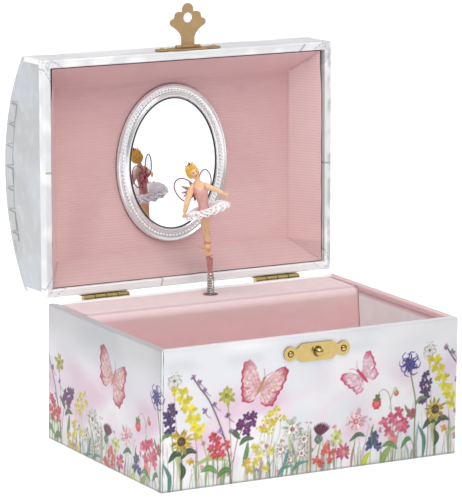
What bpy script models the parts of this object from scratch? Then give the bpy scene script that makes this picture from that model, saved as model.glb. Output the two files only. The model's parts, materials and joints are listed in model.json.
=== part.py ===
"""A ballerina jewellery box: a papered board case and domed lid on brass hinges, a hasp,
a wound musical movement behind a covered deck, and a dancer on a coil spring.

Units are metres, +Z is up, the front faces -Y and the origin is the centre of the case's underside.
Lid parts are modelled in their closed place, under an empty on the hinge axis that opens them."""

import math

import bmesh
import bpy
from mathutils import Matrix, Vector

MM = 0.001
GAP = 0.3 * MM  # clearance between neighbouring pieces
ROUND = 24  # sides of an ordinary round piece

# Case
LENGTH = 160.0 * MM
DEPTH = 115.0 * MM
CASE_HEIGHT = 66.6 * MM
WALL = 4.0 * MM
BOTTOM = 3.2 * MM
FLOOR_TOP = 5.0 * MM
LINING = 1.2 * MM
EDGE_BEVEL = 0.6 * MM

# Deck over the mechanism
DECK_TOP = 66.2 * MM
DECK_BOARD = 1.8 * MM
DECK_FRONT_TOP = 25.0 * MM  # y of the deck's front face at the top
DECK_FRONT_FOOT = 17.0 * MM  # y of the deck's front face at the floor
DECK_ROUND = 3.0 * MM
DECK_HOLE = 3.5 * MM

# Lid, in its closed place
LID_RIM = 66.9 * MM
LID_WALL_TOP = 90.2 * MM
LID_APEX = 111.0 * MM
LID_BOARD = 2.4 * MM
LID_OPEN = math.radians(91.5)
TRAY_RIM = LID_RIM + 3.0 * MM
TRAY_CEILING = LID_RIM + 18.0 * MM
TRAY_BOARD = 1.0 * MM
TRAY_FLAT_X = 65.0 * MM
TRAY_FLAT_FRONT = -41.7 * MM
TRAY_FLAT_BACK = 42.7 * MM

# Mirror
MIRROR_X = -1.5 * MM
MIRROR_Y = -0.5 * MM
MIRROR_HALF_WIDTH = 30.8 * MM
MIRROR_HALF_HEIGHT = 39.3 * MM
MIRROR_RING = 6.8 * MM

# Box hinges
HINGE_Y = DEPTH / 2 + 1.8 * MM
HINGE_Z = 66.55 * MM
HINGE_X = 48.0 * MM
HINGE_WIDTH = 25.0 * MM
KNUCKLE_RADIUS = 1.5 * MM
HINGE_PIN = 0.6 * MM
SHEET = 0.6 * MM
LEAF_DEPTH = 10.0 * MM
NAIL_SHANK = 0.45 * MM
NAIL_HOLE = 0.75 * MM

# Hasp and latch
FITTING_X = 1.5 * MM
HASP_Y = -DEPTH / 2 - 1.45 * MM
HASP_Z = 72.6 * MM
HASP_BARREL = 1.1 * MM
HASP_HOLE = 2.45 * MM
HASP_DROP = 14.3 * MM  # from the barrel to the hole
LATCH_Z = HASP_Z - HASP_DROP
FITTING_NAIL = 14.3 * MM  # nails each side of the fitting's centre
KNOB_RADIUS = 2.0 * MM

# Movement: gears share one module
MODULE = 0.4 * MM
CYLINDER_TEETH, PINION_TEETH = 42, 12
CROWN_TEETH = 48
WORM_WHEEL_TEETH = 18
SPINDLE_X, SPINDLE_Y = 1.5 * MM, 43.6 * MM
CYLINDER_Y = 38.8 * MM
CENTRES = MODULE * (CYLINDER_TEETH + PINION_TEETH) / 2
CYLINDER_X = SPINDLE_X - math.sqrt(CENTRES**2 - (SPINDLE_Y - CYLINDER_Y) ** 2)
CYLINDER_RADIUS = 6.5 * MM
PIN_HEIGHT = 0.5 * MM
PIN_INSET = 0.3 * MM
NOTES = 18  # comb teeth
DRUM_LOW, DRUM_HIGH = 30.0 * MM, 48.4 * MM
GEAR_LOW, GEAR_HIGH = 54.0 * MM, 56.0 * MM
PLATE_LEFT, PLATE_RIGHT = -46.0 * MM, 6.0 * MM
PLATE_LOW, PLATE_TOP = 7.0 * MM, 47.0 * MM
PLATE_FRONT, PLATE_BACK = 50.2 * MM, 53.2 * MM
CROWN_RADIUS = MODULE * CROWN_TEETH / 2
DRIVE_PINION_Z = 26.6 * MM
KEY_Z = DRIVE_PINION_Z - CROWN_RADIUS
KEY_HOLE = 3.0 * MM
COMB_BACK = -43.0 * MM
COMB_TOOTH = 15.0 * MM
COMB_SCREW_X = -37.6 * MM
COMB_SCREW_HOLE = 1.1 * MM
GOVERNOR_ANGLE = math.radians(168)
GOVERNOR_X = CYLINDER_X + CENTRES * math.cos(GOVERNOR_ANGLE)
GOVERNOR_Y = CYLINDER_Y + CENTRES * math.sin(GOVERNOR_ANGLE)
WORM_Z = 51.6 * MM
WORM_RADIUS = 1.3 * MM
WORM_Y = GOVERNOR_Y + MODULE * (WORM_WHEEL_TEETH / 2 + 1) + WORM_RADIUS + 0.06 * MM
FAN_END, DRUM_END = -30.0 * MM, -1.2 * MM
BRAKE_DRUM_RADIUS = 1.2 * MM
STOP_X, STOP_Y = 6.5 * MM, 52.3 * MM
STOP_WIRE = 0.5 * MM
STOP_TRAVEL = 1.2 * MM

# Dancer, in a frame turned to face the front left, heights from the deck's top
DANCER_TURN = math.radians(-29.6)
FOLD_HEIGHT = 3.8 * MM
FIGURE_SIDES = 12
SPRING_RADIUS = 1.7 * MM
SPRING_WIRE = 0.3 * MM


def clear_scene():
    for obj in list(bpy.data.objects):
        bpy.data.objects.remove(obj, do_unlink=True)


def make_material(name, colour, roughness, metallic=0.0):
    material = bpy.data.materials.new(name)
    material.use_nodes = True
    shader = material.node_tree.nodes["Principled BSDF"]
    shader.inputs["Base Color"].default_value = (*colour, 1.0)
    shader.inputs["Roughness"].default_value = roughness
    shader.inputs["Metallic"].default_value = metallic
    return material


# ---------------------------------------------------------------- shape helpers


def finish(name, bm, material, parent=None):
    """Turns a bmesh into a named object with outward faces, its mesh in the case's coordinates."""
    bmesh.ops.recalc_face_normals(bm, faces=bm.faces)
    mesh = bpy.data.meshes.new(name)
    bm.to_mesh(mesh)
    bm.free()
    if material:
        mesh.materials.append(material)
    obj = bpy.data.objects.new(name, mesh)
    bpy.context.scene.collection.objects.link(obj)
    if parent:
        obj.parent = parent
        obj.location = -Vector(parent["home"])
    return obj


def smooth(obj, degrees=40):
    obj.data.shade_smooth()
    obj.data.set_sharp_from_angle(angle=math.radians(degrees))
    return obj


def pivot(name, place, parent=None, turn=(0, 0, 0)):
    """An empty on a joint's axis. "home" is its place with everything unturned."""
    empty = bpy.data.objects.new(name, None)
    empty.empty_display_size = 5 * MM
    bpy.context.scene.collection.objects.link(empty)
    empty["home"] = tuple(place)
    empty.location = place
    empty.rotation_euler = turn
    if parent:
        empty.parent = parent
        empty.location = Vector(place) - Vector(parent["home"])
    return empty


def hide(obj):
    obj.hide_render = True
    obj.display_type = "WIRE"
    return obj


def combine(obj, helper, operation):
    hide(helper)
    modifier = obj.modifiers.new(operation.lower(), "BOOLEAN")
    modifier.operation = operation
    modifier.solver = "EXACT"
    modifier.object = helper
    return obj


def cut(obj, helper):
    return combine(obj, helper, "DIFFERENCE")


def join(obj, helper):
    return combine(obj, helper, "UNION")


def box(name, low, high, material=None, parent=None, bevel=0.0):
    bm = bmesh.new()
    bmesh.ops.create_cube(bm, size=1.0)
    low, high = Vector(low), Vector(high)
    for vert in bm.verts:
        vert.co = [low[i] + (vert.co[i] + 0.5) * (high[i] - low[i]) for i in range(3)]
    if bevel:
        bmesh.ops.bevel(
            bm, geom=bm.edges[:], offset=bevel, segments=1, affect="EDGES", clamp_overlap=True
        )
    return finish(name, bm, material, parent)


def axis_point(axis, along, a, b):
    """A point from its place along an axis and its two cross coordinates, in XYZ order."""
    return {"X": (along, a, b), "Y": (a, along, b), "Z": (a, b, along)}[axis]


def add_prism(bm, outline, axis, low, high):
    """A closed prism: a 2D outline of cross coordinates carried from low to high."""
    start = [bm.verts.new(axis_point(axis, low, a, b)) for a, b in outline]
    end = [bm.verts.new(axis_point(axis, high, a, b)) for a, b in outline]
    bm.faces.new(start)
    bm.faces.new(end)
    for i in range(len(outline)):
        j = (i + 1) % len(outline)
        bm.faces.new((start[i], start[j], end[j], end[i]))


def prism(name, outline, axis, low, high, material=None, parent=None):
    bm = bmesh.new()
    add_prism(bm, outline, axis, low, high)
    return finish(name, bm, material, parent)


def arc(centre, radius, first, last, count):
    """Points along an arc in degrees, both ends included."""
    step = (last - first) / (count - 1)
    angles = [math.radians(first + step * i) for i in range(count)]
    return [(centre[0] + radius * math.cos(a), centre[1] + radius * math.sin(a)) for a in angles]


def circle(centre, radius, sides=ROUND):
    turn = 360 / sides
    return arc(centre, radius, 0, 360 - turn, sides)


def rod(name, axis, centre, radius, low, high, material=None, parent=None, sides=ROUND):
    return prism(name, circle(centre, radius, sides), axis, low, high, material, parent)


def rods(name, axis, centres, radius, low, high, parent=None, sides=8):
    """Several parallel rods in one hidden helper, for cutting a row of holes."""
    bm = bmesh.new()
    for centre in centres:
        add_prism(bm, circle(centre, radius, sides), axis, low, high)
    return finish(name, bm, None, parent)


def add_loft(bm, rings, close=False):
    """Joins rings of equal length; open lofts get end caps."""
    loops = [[bm.verts.new(point) for point in ring] for ring in rings]
    count = len(loops[0])
    pairs = list(zip(loops, loops[1:]))
    if close:
        pairs.append((loops[-1], loops[0]))
    for one, two in pairs:
        for i in range(count):
            j = (i + 1) % count
            bm.faces.new((one[i], one[j], two[j], two[i]))
    if not close:
        bm.faces.new(loops[0])
        bm.faces.new(loops[-1])


def loft(name, rings, material=None, parent=None, close=False):
    bm = bmesh.new()
    add_loft(bm, rings, close)
    return finish(name, bm, material, parent)


def lathe(name, axis, centre, profile, material=None, parent=None, sides=ROUND):
    """Turns (radius, along) pairs about an axis; the flat ends are capped."""
    rings = [
        [axis_point(axis, along, a, b) for a, b in circle(centre, radius, sides)]
        for radius, along in profile
    ]
    return smooth(loft(name, rings, material, parent))


def tube_rings(points, radii, sides, flatten=1.0):
    """Rings round a path, each square to it. A radius may differ at each point."""
    points = [Vector(p) for p in points]
    rings = []
    side = None
    for i, point in enumerate(points):
        ahead = points[min(i + 1, len(points) - 1)] - points[max(i - 1, 0)]
        ahead.normalize()
        if side is None:
            side = ahead.orthogonal().normalized()
        side = (side - ahead * side.dot(ahead)).normalized()
        other = ahead.cross(side)
        rings.append(
            [
                point
                + side * (radii[i] * math.cos(2 * math.pi * k / sides))
                + other * (radii[i] * flatten * math.sin(2 * math.pi * k / sides))
                for k in range(sides)
            ]
        )
    return rings


def tube(name, points, radii, material=None, parent=None, sides=8):
    if not hasattr(radii, "__len__"):
        radii = [radii] * len(points)
    return smooth(loft(name, tube_rings(points, radii, sides), material, parent))


# ---------------------------------------------------------------- case


def case_panels(paper):
    half, front, back = LENGTH / 2, -DEPTH / 2, DEPTH / 2
    ends = (-half, half)
    box(
        "case_front_panel", (ends[0], front, 0), (ends[1], front + WALL, CASE_HEIGHT), paper,
        bevel=EDGE_BEVEL,
    )
    back_panel = box(
        "case_back_panel", (ends[0], back - WALL, 0), (ends[1], back, CASE_HEIGHT), paper,
        bevel=EDGE_BEVEL,
    )
    cut(back_panel, rod("key_hole", "Y", (CYLINDER_X, KEY_Z), KEY_HOLE, back - 2 * WALL, back + WALL))
    for side, name in ((-1, "case_left_panel"), (1, "case_right_panel")):
        x = sorted((side * half, side * (half - WALL)))
        box(
            name, (x[0], front + WALL + GAP, 0), (x[1], back - WALL - GAP, CASE_HEIGHT), paper,
            bevel=EDGE_BEVEL,
        )
    inner = WALL + GAP
    box(
        "case_bottom_panel", (-half + inner, front + inner, 0), (half - inner, back - inner, BOTTOM),
        paper,
    )


def compartment_lining(pink):
    """A folded card tray: a floor and three standing sides, open towards the sloping deck front."""
    half, front = LENGTH / 2 - WALL - GAP, -DEPTH / 2 + WALL + GAP
    low, high = FLOOR_TOP - 0.8 * MM, CASE_HEIGHT - 1.5 * MM
    outline = [
        (-half, front), (half, front), (half, 0), (half - LINING, 0),
        (half - LINING, front + LINING), (LINING - half, front + LINING), (LINING - half, 0), (-half, 0),
    ]
    rings = []
    for z in (low, high):
        end = deck_front_y(z) - GAP
        rings.append([(x, end if y == 0 else y, z) for x, y in outline])
    tray = loft("compartment_lining", rings, pink)
    foot = BOTTOM + GAP
    join(tray, box("tray_floor", (-half, front, foot), (half, deck_front_y(foot) - GAP, FLOOR_TOP)))


def deck_front_y(z):
    """The sloping front face of the deck, as y at a height."""
    share = (z - FLOOR_TOP) / (DECK_TOP - FLOOR_TOP)
    return DECK_FRONT_FOOT + share * (DECK_FRONT_TOP - DECK_FRONT_FOOT)


def deck_cover(pink):
    back = DEPTH / 2 - WALL - GAP
    foot = BOTTOM + GAP
    slope = math.degrees(math.atan2(DECK_TOP - FLOOR_TOP, DECK_FRONT_TOP - DECK_FRONT_FOOT))
    bend = (DECK_FRONT_TOP + DECK_ROUND, DECK_TOP - DECK_ROUND)
    inner_radius = DECK_ROUND - DECK_BOARD
    outer = [(deck_front_y(foot), foot)]
    outer += arc(bend, DECK_ROUND, 90 + slope, 90, 6) + [(back, DECK_TOP)]
    inner = [(back, DECK_TOP - DECK_BOARD)] + arc(bend, inner_radius, 90, 90 + slope, 4)
    inner += [(deck_front_y(foot) + DECK_BOARD, foot)]
    half = LENGTH / 2 - WALL - GAP
    deck = smooth(prism("deck_cover", outer + inner, "X", -half, half, pink), 30)
    cut(deck, rod("deck_hole", "Z", (SPINDLE_X, SPINDLE_Y), DECK_HOLE, DECK_TOP - 5 * MM, DECK_TOP + MM))
    low = (STOP_X - 0.9 * MM, STOP_Y - 0.9 * MM, DECK_TOP - 5 * MM)
    cut(deck, box("stop_notch", low, (STOP_X + 0.9 * MM, DEPTH / 2, DECK_TOP + MM)))


# ---------------------------------------------------------------- lid


def dome_radius():
    rise = LID_APEX - LID_WALL_TOP
    return ((DEPTH / 2) ** 2 + rise**2) / (2 * rise)


def dome_arc(radius, half_depth, count):
    """The dome's curve at one radius, as (y, z) points from the front to the back."""
    centre = LID_APEX - dome_radius()
    reach = math.degrees(math.asin(half_depth / radius))
    return [
        (radius * math.sin(a), centre + radius * math.cos(a))
        for a in (math.radians(-reach + 2 * reach * i / (count - 1)) for i in range(count))
    ]


def lid_panels(lid, paper):
    half, edge = LENGTH / 2, DEPTH / 2
    under = dome_radius() - LID_BOARD
    outer = dome_arc(dome_radius(), edge, 17)
    inner = dome_arc(under, edge, 17)
    smooth(prism("lid_top_panel", outer + inner[::-1], "X", -half, half, paper, lid), 30)
    end_curve = dome_arc(under - GAP, edge - WALL - GAP, 15)
    foot = edge - WALL - GAP
    for side, name in ((-1, "lid_left_end"), (1, "lid_right_end")):
        x = sorted((side * half, side * (half - WALL)))
        outline = [(foot, LID_RIM), (-foot, LID_RIM)] + end_curve
        smooth(prism(name, outline, "X", x[0], x[1], paper, lid), 30)
    wall_top = dome_arc(under - GAP, edge, 3)[0][1]
    for side, name in ((-1, "lid_front_panel"), (1, "lid_back_panel")):
        y = sorted((side * edge, side * (edge - WALL)))
        box(name, (-half, y[0], LID_RIM), (half, y[1], wall_top), paper, lid, bevel=EDGE_BEVEL / 2)


def lid_lining(lid, pink):
    """A tray of one thickness: a narrow standing rim, sloped walls and a flat ceiling."""
    half_x, half_y = LENGTH / 2 - WALL - GAP, DEPTH / 2 - WALL - GAP

    def ring(x, front, back, z):
        return [(-x, front, z), (x, front, z), (x, back, z), (-x, back, z)]

    wall = TRAY_BOARD
    rings = [
        ring(half_x, -half_y, half_y, TRAY_RIM),
        ring(half_x, -half_y, half_y, TRAY_RIM + wall),
        ring(TRAY_FLAT_X + wall, TRAY_FLAT_FRONT - wall, TRAY_FLAT_BACK + wall, TRAY_CEILING + wall),
        ring(TRAY_FLAT_X, TRAY_FLAT_FRONT, TRAY_FLAT_BACK, TRAY_CEILING),
        ring(half_x - wall, wall - half_y, half_y - wall, TRAY_RIM),
    ]
    bm = bmesh.new()
    loops = [[bm.verts.new(point) for point in r] for r in rings]
    for one, two in ((0, 1), (1, 2), (3, 4), (4, 0)):
        for i in range(4):
            j = (i + 1) % 4
            bm.faces.new((loops[one][i], loops[one][j], loops[two][j], loops[two][i]))
    bm.faces.new(loops[2])
    bm.faces.new(loops[3])
    finish("lid_lining_tray", bm, pink, lid)


def oval(inset, z, count=48):
    turns = [2 * math.pi * i / count for i in range(count)]
    return [
        (
            MIRROR_X + (MIRROR_HALF_WIDTH - inset) * math.cos(t),
            MIRROR_Y + (MIRROR_HALF_HEIGHT - inset) * math.sin(t),
            z,
        )
        for t in turns
    ]


def mirror(lid, chrome, glass):
    back, front = TRAY_CEILING - GAP, TRAY_CEILING - 3.6 * MM
    lip, rebate = MIRROR_RING, MIRROR_RING - 1.4 * MM
    step = front + 1.2 * MM
    section = [
        (0.0, back), (0.0, front + 1.0 * MM), (1.2 * MM, front), (lip - 1.2 * MM, front),
        (lip, step), (rebate, step), (rebate, back),
    ]
    rings = [oval(inset, z) for inset, z in section]
    smooth(loft("mirror_frame", rings, chrome, lid, close=True))
    glass_edge = rebate + GAP
    rings = [oval(glass_edge, step + GAP), oval(glass_edge, back - GAP)]
    smooth(loft("mirror_glass", rings, glass, lid))


# ---------------------------------------------------------------- hinges


def hinge_leaf(name, centre, up, knuckles, brass, parent=None):
    """One leaf on the back face: a plate, two rolled knuckles and the tabs that carry them."""
    face = DEPTH / 2 + GAP
    clear = KNUCKLE_RADIUS + 0.4 * MM
    near, far = HINGE_Z + up * clear, HINGE_Z + up * (clear + LEAF_DEPTH)
    left = centre - HINGE_WIDTH / 2
    low, high = sorted((near, far))
    leaf = box(name, (left, face, low), (left + HINGE_WIDTH, face + SHEET, high), brass, parent)
    pitch = (HINGE_WIDTH + GAP) / 4
    for index in knuckles:
        start = left + index * pitch
        end = start + pitch - GAP
        z = sorted((HINGE_Z, near + up * MM))
        tab = box(f"{name}_tab{index}", (start, face, z[0]), (end, face + SHEET, z[1]), None, parent)
        join(leaf, tab)
        barrel = rod(
            f"{name}_barrel{index}", "X", (HINGE_Y, HINGE_Z), KNUCKLE_RADIUS, start, end, None, parent, 20
        )
        join(leaf, barrel)
    reach = (left - MM, left + HINGE_WIDTH + MM)
    cut(leaf, rod(f"{name}_bore", "X", (HINGE_Y, HINGE_Z), HINGE_PIN + 0.1 * MM, *reach, None, parent, 12))
    nails = [(centre + side * 7.5 * MM, (near + far) / 2) for side in (-1, 1)]
    cut(leaf, rods(f"{name}_holes", "Y", nails, NAIL_HOLE, face - MM, face + 2 * MM, parent))
    return nails


def nail(name, axis_place, head_base, outward, brass, parent=None, head=1.25 * MM):
    """A domed nail along Y: its shank runs into the board, its head sits on the sheet."""
    shank_end = head_base - outward * 3.2 * MM
    base = head_base + outward * 0.1 * MM
    profile = [(NAIL_SHANK * 0.5, shank_end), (NAIL_SHANK, shank_end + outward * 0.6 * MM)]
    profile += [(NAIL_SHANK, base), (head, base)]
    profile += [(head * 0.8, base + outward * 0.45 * MM), (head * 0.35, base + outward * 0.75 * MM)]
    lathe(name, "Y", axis_place, profile, brass, parent, sides=10)


def hinges(lid, brass):
    back = DEPTH / 2
    case_holes, lid_holes = [], []
    for side, word in ((-1, "left"), (1, "right")):
        centre = side * HINGE_X
        case_nails = hinge_leaf(f"hinge_case_leaf_{word}", centre, -1, (0, 2), brass)
        lid_nails = hinge_leaf(f"hinge_lid_leaf_{word}", centre, 1, (1, 3), brass, lid)
        reach = (centre - HINGE_WIDTH / 2, centre + HINGE_WIDTH / 2)
        rod(f"hinge_pin_{word}", "X", (HINGE_Y, HINGE_Z), HINGE_PIN, *reach, brass, sides=12)
        for index, place in enumerate(case_nails, 1):
            nail(f"hinge_case_nail_{word}_{index}", place, back + GAP + SHEET, 1, brass)
        for index, place in enumerate(lid_nails, 1):
            nail(f"hinge_lid_nail_{word}_{index}", place, back + GAP + SHEET, 1, brass, lid)
        case_holes += case_nails
        lid_holes += lid_nails
    depth = (back - 3 * MM, back + MM)
    cut(
        bpy.data.objects["case_back_panel"],
        rods("case_hinge_holes", "Y", case_holes, NAIL_HOLE, *depth),
    )
    cut(
        bpy.data.objects["lid_back_panel"],
        rods("lid_hinge_holes", "Y", lid_holes, NAIL_HOLE, *depth, lid),
    )


# ---------------------------------------------------------------- hasp and latch


def mirrored(points):
    """A closed outline from its right half, which runs from the top to the bottom."""
    return points + [(-x, z) for x, z in reversed(points)]


def plate_outline(z):
    """A stepped plate with a round ear at each end."""
    ear = arc((FITTING_NAIL, 0), 3.5 * MM, 142, -142, 13)
    corner = [(8.2 * MM, 4.3 * MM), (9.6 * MM, 3.2 * MM), (10.4 * MM, 2.5 * MM)]
    half = corner + ear + [(x, -y) for x, y in reversed(corner)]
    return [(FITTING_X + x, z + y) for x, y in mirrored(half)]


def fitting_plate(name, z, brass, parent=None):
    face = -DEPTH / 2 - GAP
    plate = prism(name, plate_outline(z), "Y", face - SHEET, face, brass, parent)
    nails = [(FITTING_X + side * FITTING_NAIL, z) for side in (-1, 1)]
    cut(plate, rods(f"{name}_holes", "Y", nails, NAIL_HOLE, face - MM, face + MM, parent))
    return plate, nails


def latch(brass):
    face = -DEPTH / 2
    plate, nails = fitting_plate("latch_plate", LATCH_Z, brass)
    centre = (FITTING_X, LATCH_Z)
    cut(plate, rod("latch_knob_hole", "Y", centre, 1.1 * MM, face - 2 * MM, face + MM, sides=12))
    for place, word in zip(nails, ("left", "right")):
        nail(f"latch_nail_{word}", place, face - GAP - SHEET, -1, brass)
    base = face - GAP - SHEET - 0.1 * MM
    ball = base - 1.7 * MM
    profile = [(0.5 * MM, face + 2.6 * MM), (0.8 * MM, face + 2.2 * MM), (0.8 * MM, base)]
    profile += [(1.5 * MM, base), (1.3 * MM, base - 0.35 * MM)]
    for degrees in (40, 65, 90, 115, 140, 162):
        t = math.radians(degrees)
        profile.append((KNOB_RADIUS * math.sin(t), ball + KNOB_RADIUS * math.cos(t)))
    lathe("latch_knob", "Y", centre, profile, brass, sides=16)
    panel = bpy.data.objects["case_front_panel"]
    depth = (face - MM, face + 3 * MM)
    cut(panel, rods("latch_nail_holes", "Y", nails, NAIL_HOLE, *depth))
    cut(panel, rod("latch_knob_bore", "Y", centre, 1.1 * MM, *depth, sides=12))


def flap_outline():
    """The hasp's lobed flap, hanging from its barrel, as (x, z) about the barrel's axis."""
    half = [(3.6, 0.2), (3.6, 4.8), (4.4, 6.6), (6.0, 8.4), (8.0, 9.9)]
    half = [(x * MM, t * MM) for x, t in half]
    half += arc((8.0 * MM, 12.0 * MM), 1.9 * MM, -55, 95, 6)
    half += arc((5.1 * MM, 15.1 * MM), 2.2 * MM, -10, 100, 5)
    half += [(3.0 * MM, 17.2 * MM)]
    half += arc((0, 18.4 * MM), 3.0 * MM, 0, 80, 5)
    return [(FITTING_X + x, HASP_Z - t) for x, t in mirrored(half)]


def hasp(lid, brass):
    face = -DEPTH / 2
    plate, nails = fitting_plate("hasp_plate", HASP_Z, brass, lid)
    barrel, pin = (HASP_Y, HASP_Z), 0.45 * MM
    window = 3.6 * MM + GAP
    low = (FITTING_X - window, face - 3 * MM, HASP_Z - HASP_BARREL - 0.6 * MM)
    high = (FITTING_X + window, face + MM, HASP_Z + HASP_BARREL + 0.6 * MM)
    cut(plate, box("hasp_window", low, high, None, lid))
    for side in (-1, 1):
        ends = sorted((FITTING_X + side * window, FITTING_X + side * 6.6 * MM))
        join(plate, rod(f"hasp_knuckle{side}", "X", barrel, HASP_BARREL, *ends, None, lid, 16))
    reach = (FITTING_X - 7 * MM, FITTING_X + 7 * MM)
    cut(plate, rod("hasp_plate_bore", "X", barrel, pin + 0.1 * MM, *reach, None, lid, 10))
    rod("hasp_pin", "X", barrel, pin, FITTING_X - 6.6 * MM, FITTING_X + 6.6 * MM, brass, lid, 10)
    for place, word in zip(nails, ("left", "right")):
        nail(f"hasp_nail_{word}", place, face - GAP - SHEET, -1, brass, lid)
    panel = bpy.data.objects["lid_front_panel"]
    cut(panel, rods("hasp_nail_holes", "Y", nails, NAIL_HOLE, face - MM, face + 3 * MM, lid))

    swing = pivot("hasp_pivot", (FITTING_X, HASP_Y, HASP_Z), lid, (math.radians(-90), 0, 0))
    sheet = (HASP_Y - 0.3 * MM, HASP_Y + 0.2 * MM)
    flap = prism("hasp_flap", flap_outline(), "Y", *sheet, brass, swing)
    join(flap, rod("flap_knuckle", "X", barrel, HASP_BARREL, FITTING_X - 3.6 * MM, FITTING_X + 3.6 * MM,
                   None, swing, 16))
    cut(flap, rod("flap_bore", "X", barrel, pin + 0.1 * MM, *reach, None, swing, 10))
    hole = (FITTING_X, LATCH_Z)
    cut(flap, rod("flap_hole", "Y", hole, HASP_HOLE, HASP_Y - MM, HASP_Y + MM, None, swing, 20))


# ---------------------------------------------------------------- movement


def gear_outline(centre, teeth, module=MODULE, phase=0.0):
    """Straight-sided teeth with room for backlash; phase is the angle of the first tooth."""
    pitch_radius = module * teeth / 2
    points = []
    step = 2 * math.pi / teeth
    for i in range(teeth):
        for radius, half in (
            (pitch_radius - 1.2 * module, 0.23), (pitch_radius + 0.9 * module, 0.11),
            (pitch_radius + 0.9 * module, -0.11), (pitch_radius - 1.2 * module, -0.23),
        ):
            a = phase + step * (i - half)
            points.append((centre[0] + radius * math.cos(a), centre[1] + radius * math.sin(a)))
    return points


def mesh_phase(teeth, towards, other_phase_offset=0.5):
    """Phase that puts a gap (0.5) or a tooth (0.0) at the angle towards the mating gear."""
    return towards + other_phase_offset * 2 * math.pi / teeth


def add_lug(plate, name, across, front, heights):
    """A bearing arm reaching forward from the bedplate, with a riser where it stands above the plate."""
    foot = min(heights[0], PLATE_TOP - 2 * MM)
    arm = box(f"{name}_arm", (across[0], front, heights[0]), (across[1], PLATE_BACK - MM, heights[1]))
    join(plate, arm)
    if heights[1] > PLATE_TOP:
        inset = 0.1 * MM
        riser = box(
            f"{name}_riser", (across[0] + inset, PLATE_FRONT + inset, foot),
            (across[1] - inset, PLATE_BACK - inset, heights[1] - inset),
        )
        join(plate, riser)


def bedplate(metal):
    """The cast bed: comb pad, bearings for every arbor, and holes for the screws and the key."""
    plate = box(
        "movement_bedplate", (PLATE_LEFT, PLATE_FRONT, PLATE_LOW), (PLATE_RIGHT, PLATE_BACK, PLATE_TOP),
        metal, bevel=0.4 * MM,
    )
    pad_low = (COMB_BACK, CYLINDER_Y + 0.8 * MM, DRUM_LOW + 0.5 * MM)
    pad_high = (COMB_BACK + 10.5 * MM, PLATE_FRONT + MM, PLATE_TOP - MM)
    join(plate, box("comb_pad", pad_low, pad_high))
    # name, middle x, half width, front y, (low z, high z)
    bearings = (
        ("foot", CYLINDER_X - 13.2 * MM, 1.6 * MM, CYLINDER_Y - 1.8 * MM, (22.2 * MM, 24.4 * MM)),
        ("head", CYLINDER_X, 3.2 * MM, CYLINDER_Y - 3.2 * MM, (49.2 * MM, 50.4 * MM)),
        ("wheel", GOVERNOR_X, 1.9 * MM, GOVERNOR_Y - 1.9 * MM, (48.8 * MM, 49.9 * MM)),
        ("spindle", SPINDLE_X, 2.2 * MM, SPINDLE_Y - 2.2 * MM, (49.9 * MM, 51.6 * MM)),
        ("fan", -24.1 * MM, 0.7 * MM, WORM_Y - 1.7 * MM, (WORM_Z - 1.7 * MM, WORM_Z + 1.6 * MM)),
        ("drum", -5.1 * MM, 0.7 * MM, WORM_Y - 1.7 * MM, (WORM_Z - 1.7 * MM, WORM_Z + 1.6 * MM)),
    )
    for name, middle, half, front, heights in bearings:
        add_lug(plate, name, (middle - half, middle + half), front, heights)
    # the lower bearing reaches round the crown wheel's rim
    low = (CYLINDER_X - 13.2 * MM, CYLINDER_Y - 1.7 * MM, 22.3 * MM)
    join(plate, box("foot_bar", low, (CYLINDER_X + 2 * MM, CYLINDER_Y + 1.6 * MM, 24.3 * MM)))
    upright = (("arbor", CYLINDER_X, CYLINDER_Y, 1.3), ("wheel", GOVERNOR_X, GOVERNOR_Y, 1.1),
               ("spindle", SPINDLE_X, SPINDLE_Y, 1.5))
    for name, x, y, radius in upright:
        cut(plate, rod(f"{name}_bores", "Z", (x, y), radius * MM, 10 * MM, 60 * MM, sides=12))
    cut(plate, rod("worm_bores", "X", (WORM_Y, WORM_Z), 1.0 * MM, -30 * MM, 0, sides=12))
    key_place = (CYLINDER_X, KEY_Z)
    cut(plate, rod("winding_bore", "Y", key_place, 1.9 * MM, PLATE_FRONT - MM, PLATE_BACK + MM, sides=16))
    mounts = [(-40 * MM, 12 * MM), (1.5 * MM, 40 * MM)]
    through = (PLATE_FRONT - 2 * MM, PLATE_BACK + MM)
    cut(plate, rods("mount_holes", "Y", mounts, 1.3 * MM, *through, sides=10))
    blind = (CYLINDER_Y - MM, CYLINDER_Y + 6 * MM)
    cut(plate, rods("comb_screw_bores", "Y", comb_screw_places(), COMB_SCREW_HOLE, *blind, sides=10))
    return mounts


def comb_screw_places():
    middle = (DRUM_LOW + DRUM_HIGH) / 2
    return [(COMB_SCREW_X, middle - 5 * MM), (COMB_SCREW_X, middle + 5 * MM)]


def comb(steel):
    """A steel comb whose teeth reach to just short of the cylinder's pins."""
    tips = CYLINDER_X - CYLINDER_RADIUS - PIN_HEIGHT - 0.35 * MM
    low, high = DRUM_LOW + 0.7 * MM, DRUM_HIGH - 0.7 * MM
    pitch = (high - low) / NOTES
    tooth = 0.62 * pitch
    outline = [(COMB_BACK, low)]
    for i in range(NOTES):
        z = low + pitch * i
        root = tips - COMB_TOOTH - 2.5 * MM * (1 - i / (NOTES - 1))
        outline += [(tips, z), (tips, z + tooth)]
        if i < NOTES - 1:
            outline += [(root, z + tooth), (root, z + pitch)]
    outline += [(COMB_BACK, low + pitch * (NOTES - 1) + tooth)]
    plate = prism("comb", outline, "Y", CYLINDER_Y - 0.5 * MM, CYLINDER_Y + 0.5 * MM, steel)
    through = (CYLINDER_Y - MM, CYLINDER_Y + MM)
    cut(plate, rods("comb_holes", "Y", comb_screw_places(), COMB_SCREW_HOLE, *through, sides=10))
    for index, place in enumerate(comb_screw_places(), 1):
        screw(f"comb_screw_{index}", place, CYLINDER_Y - 0.6 * MM, 5 * MM, 0.8 * MM, 1.8 * MM, steel)


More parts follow.
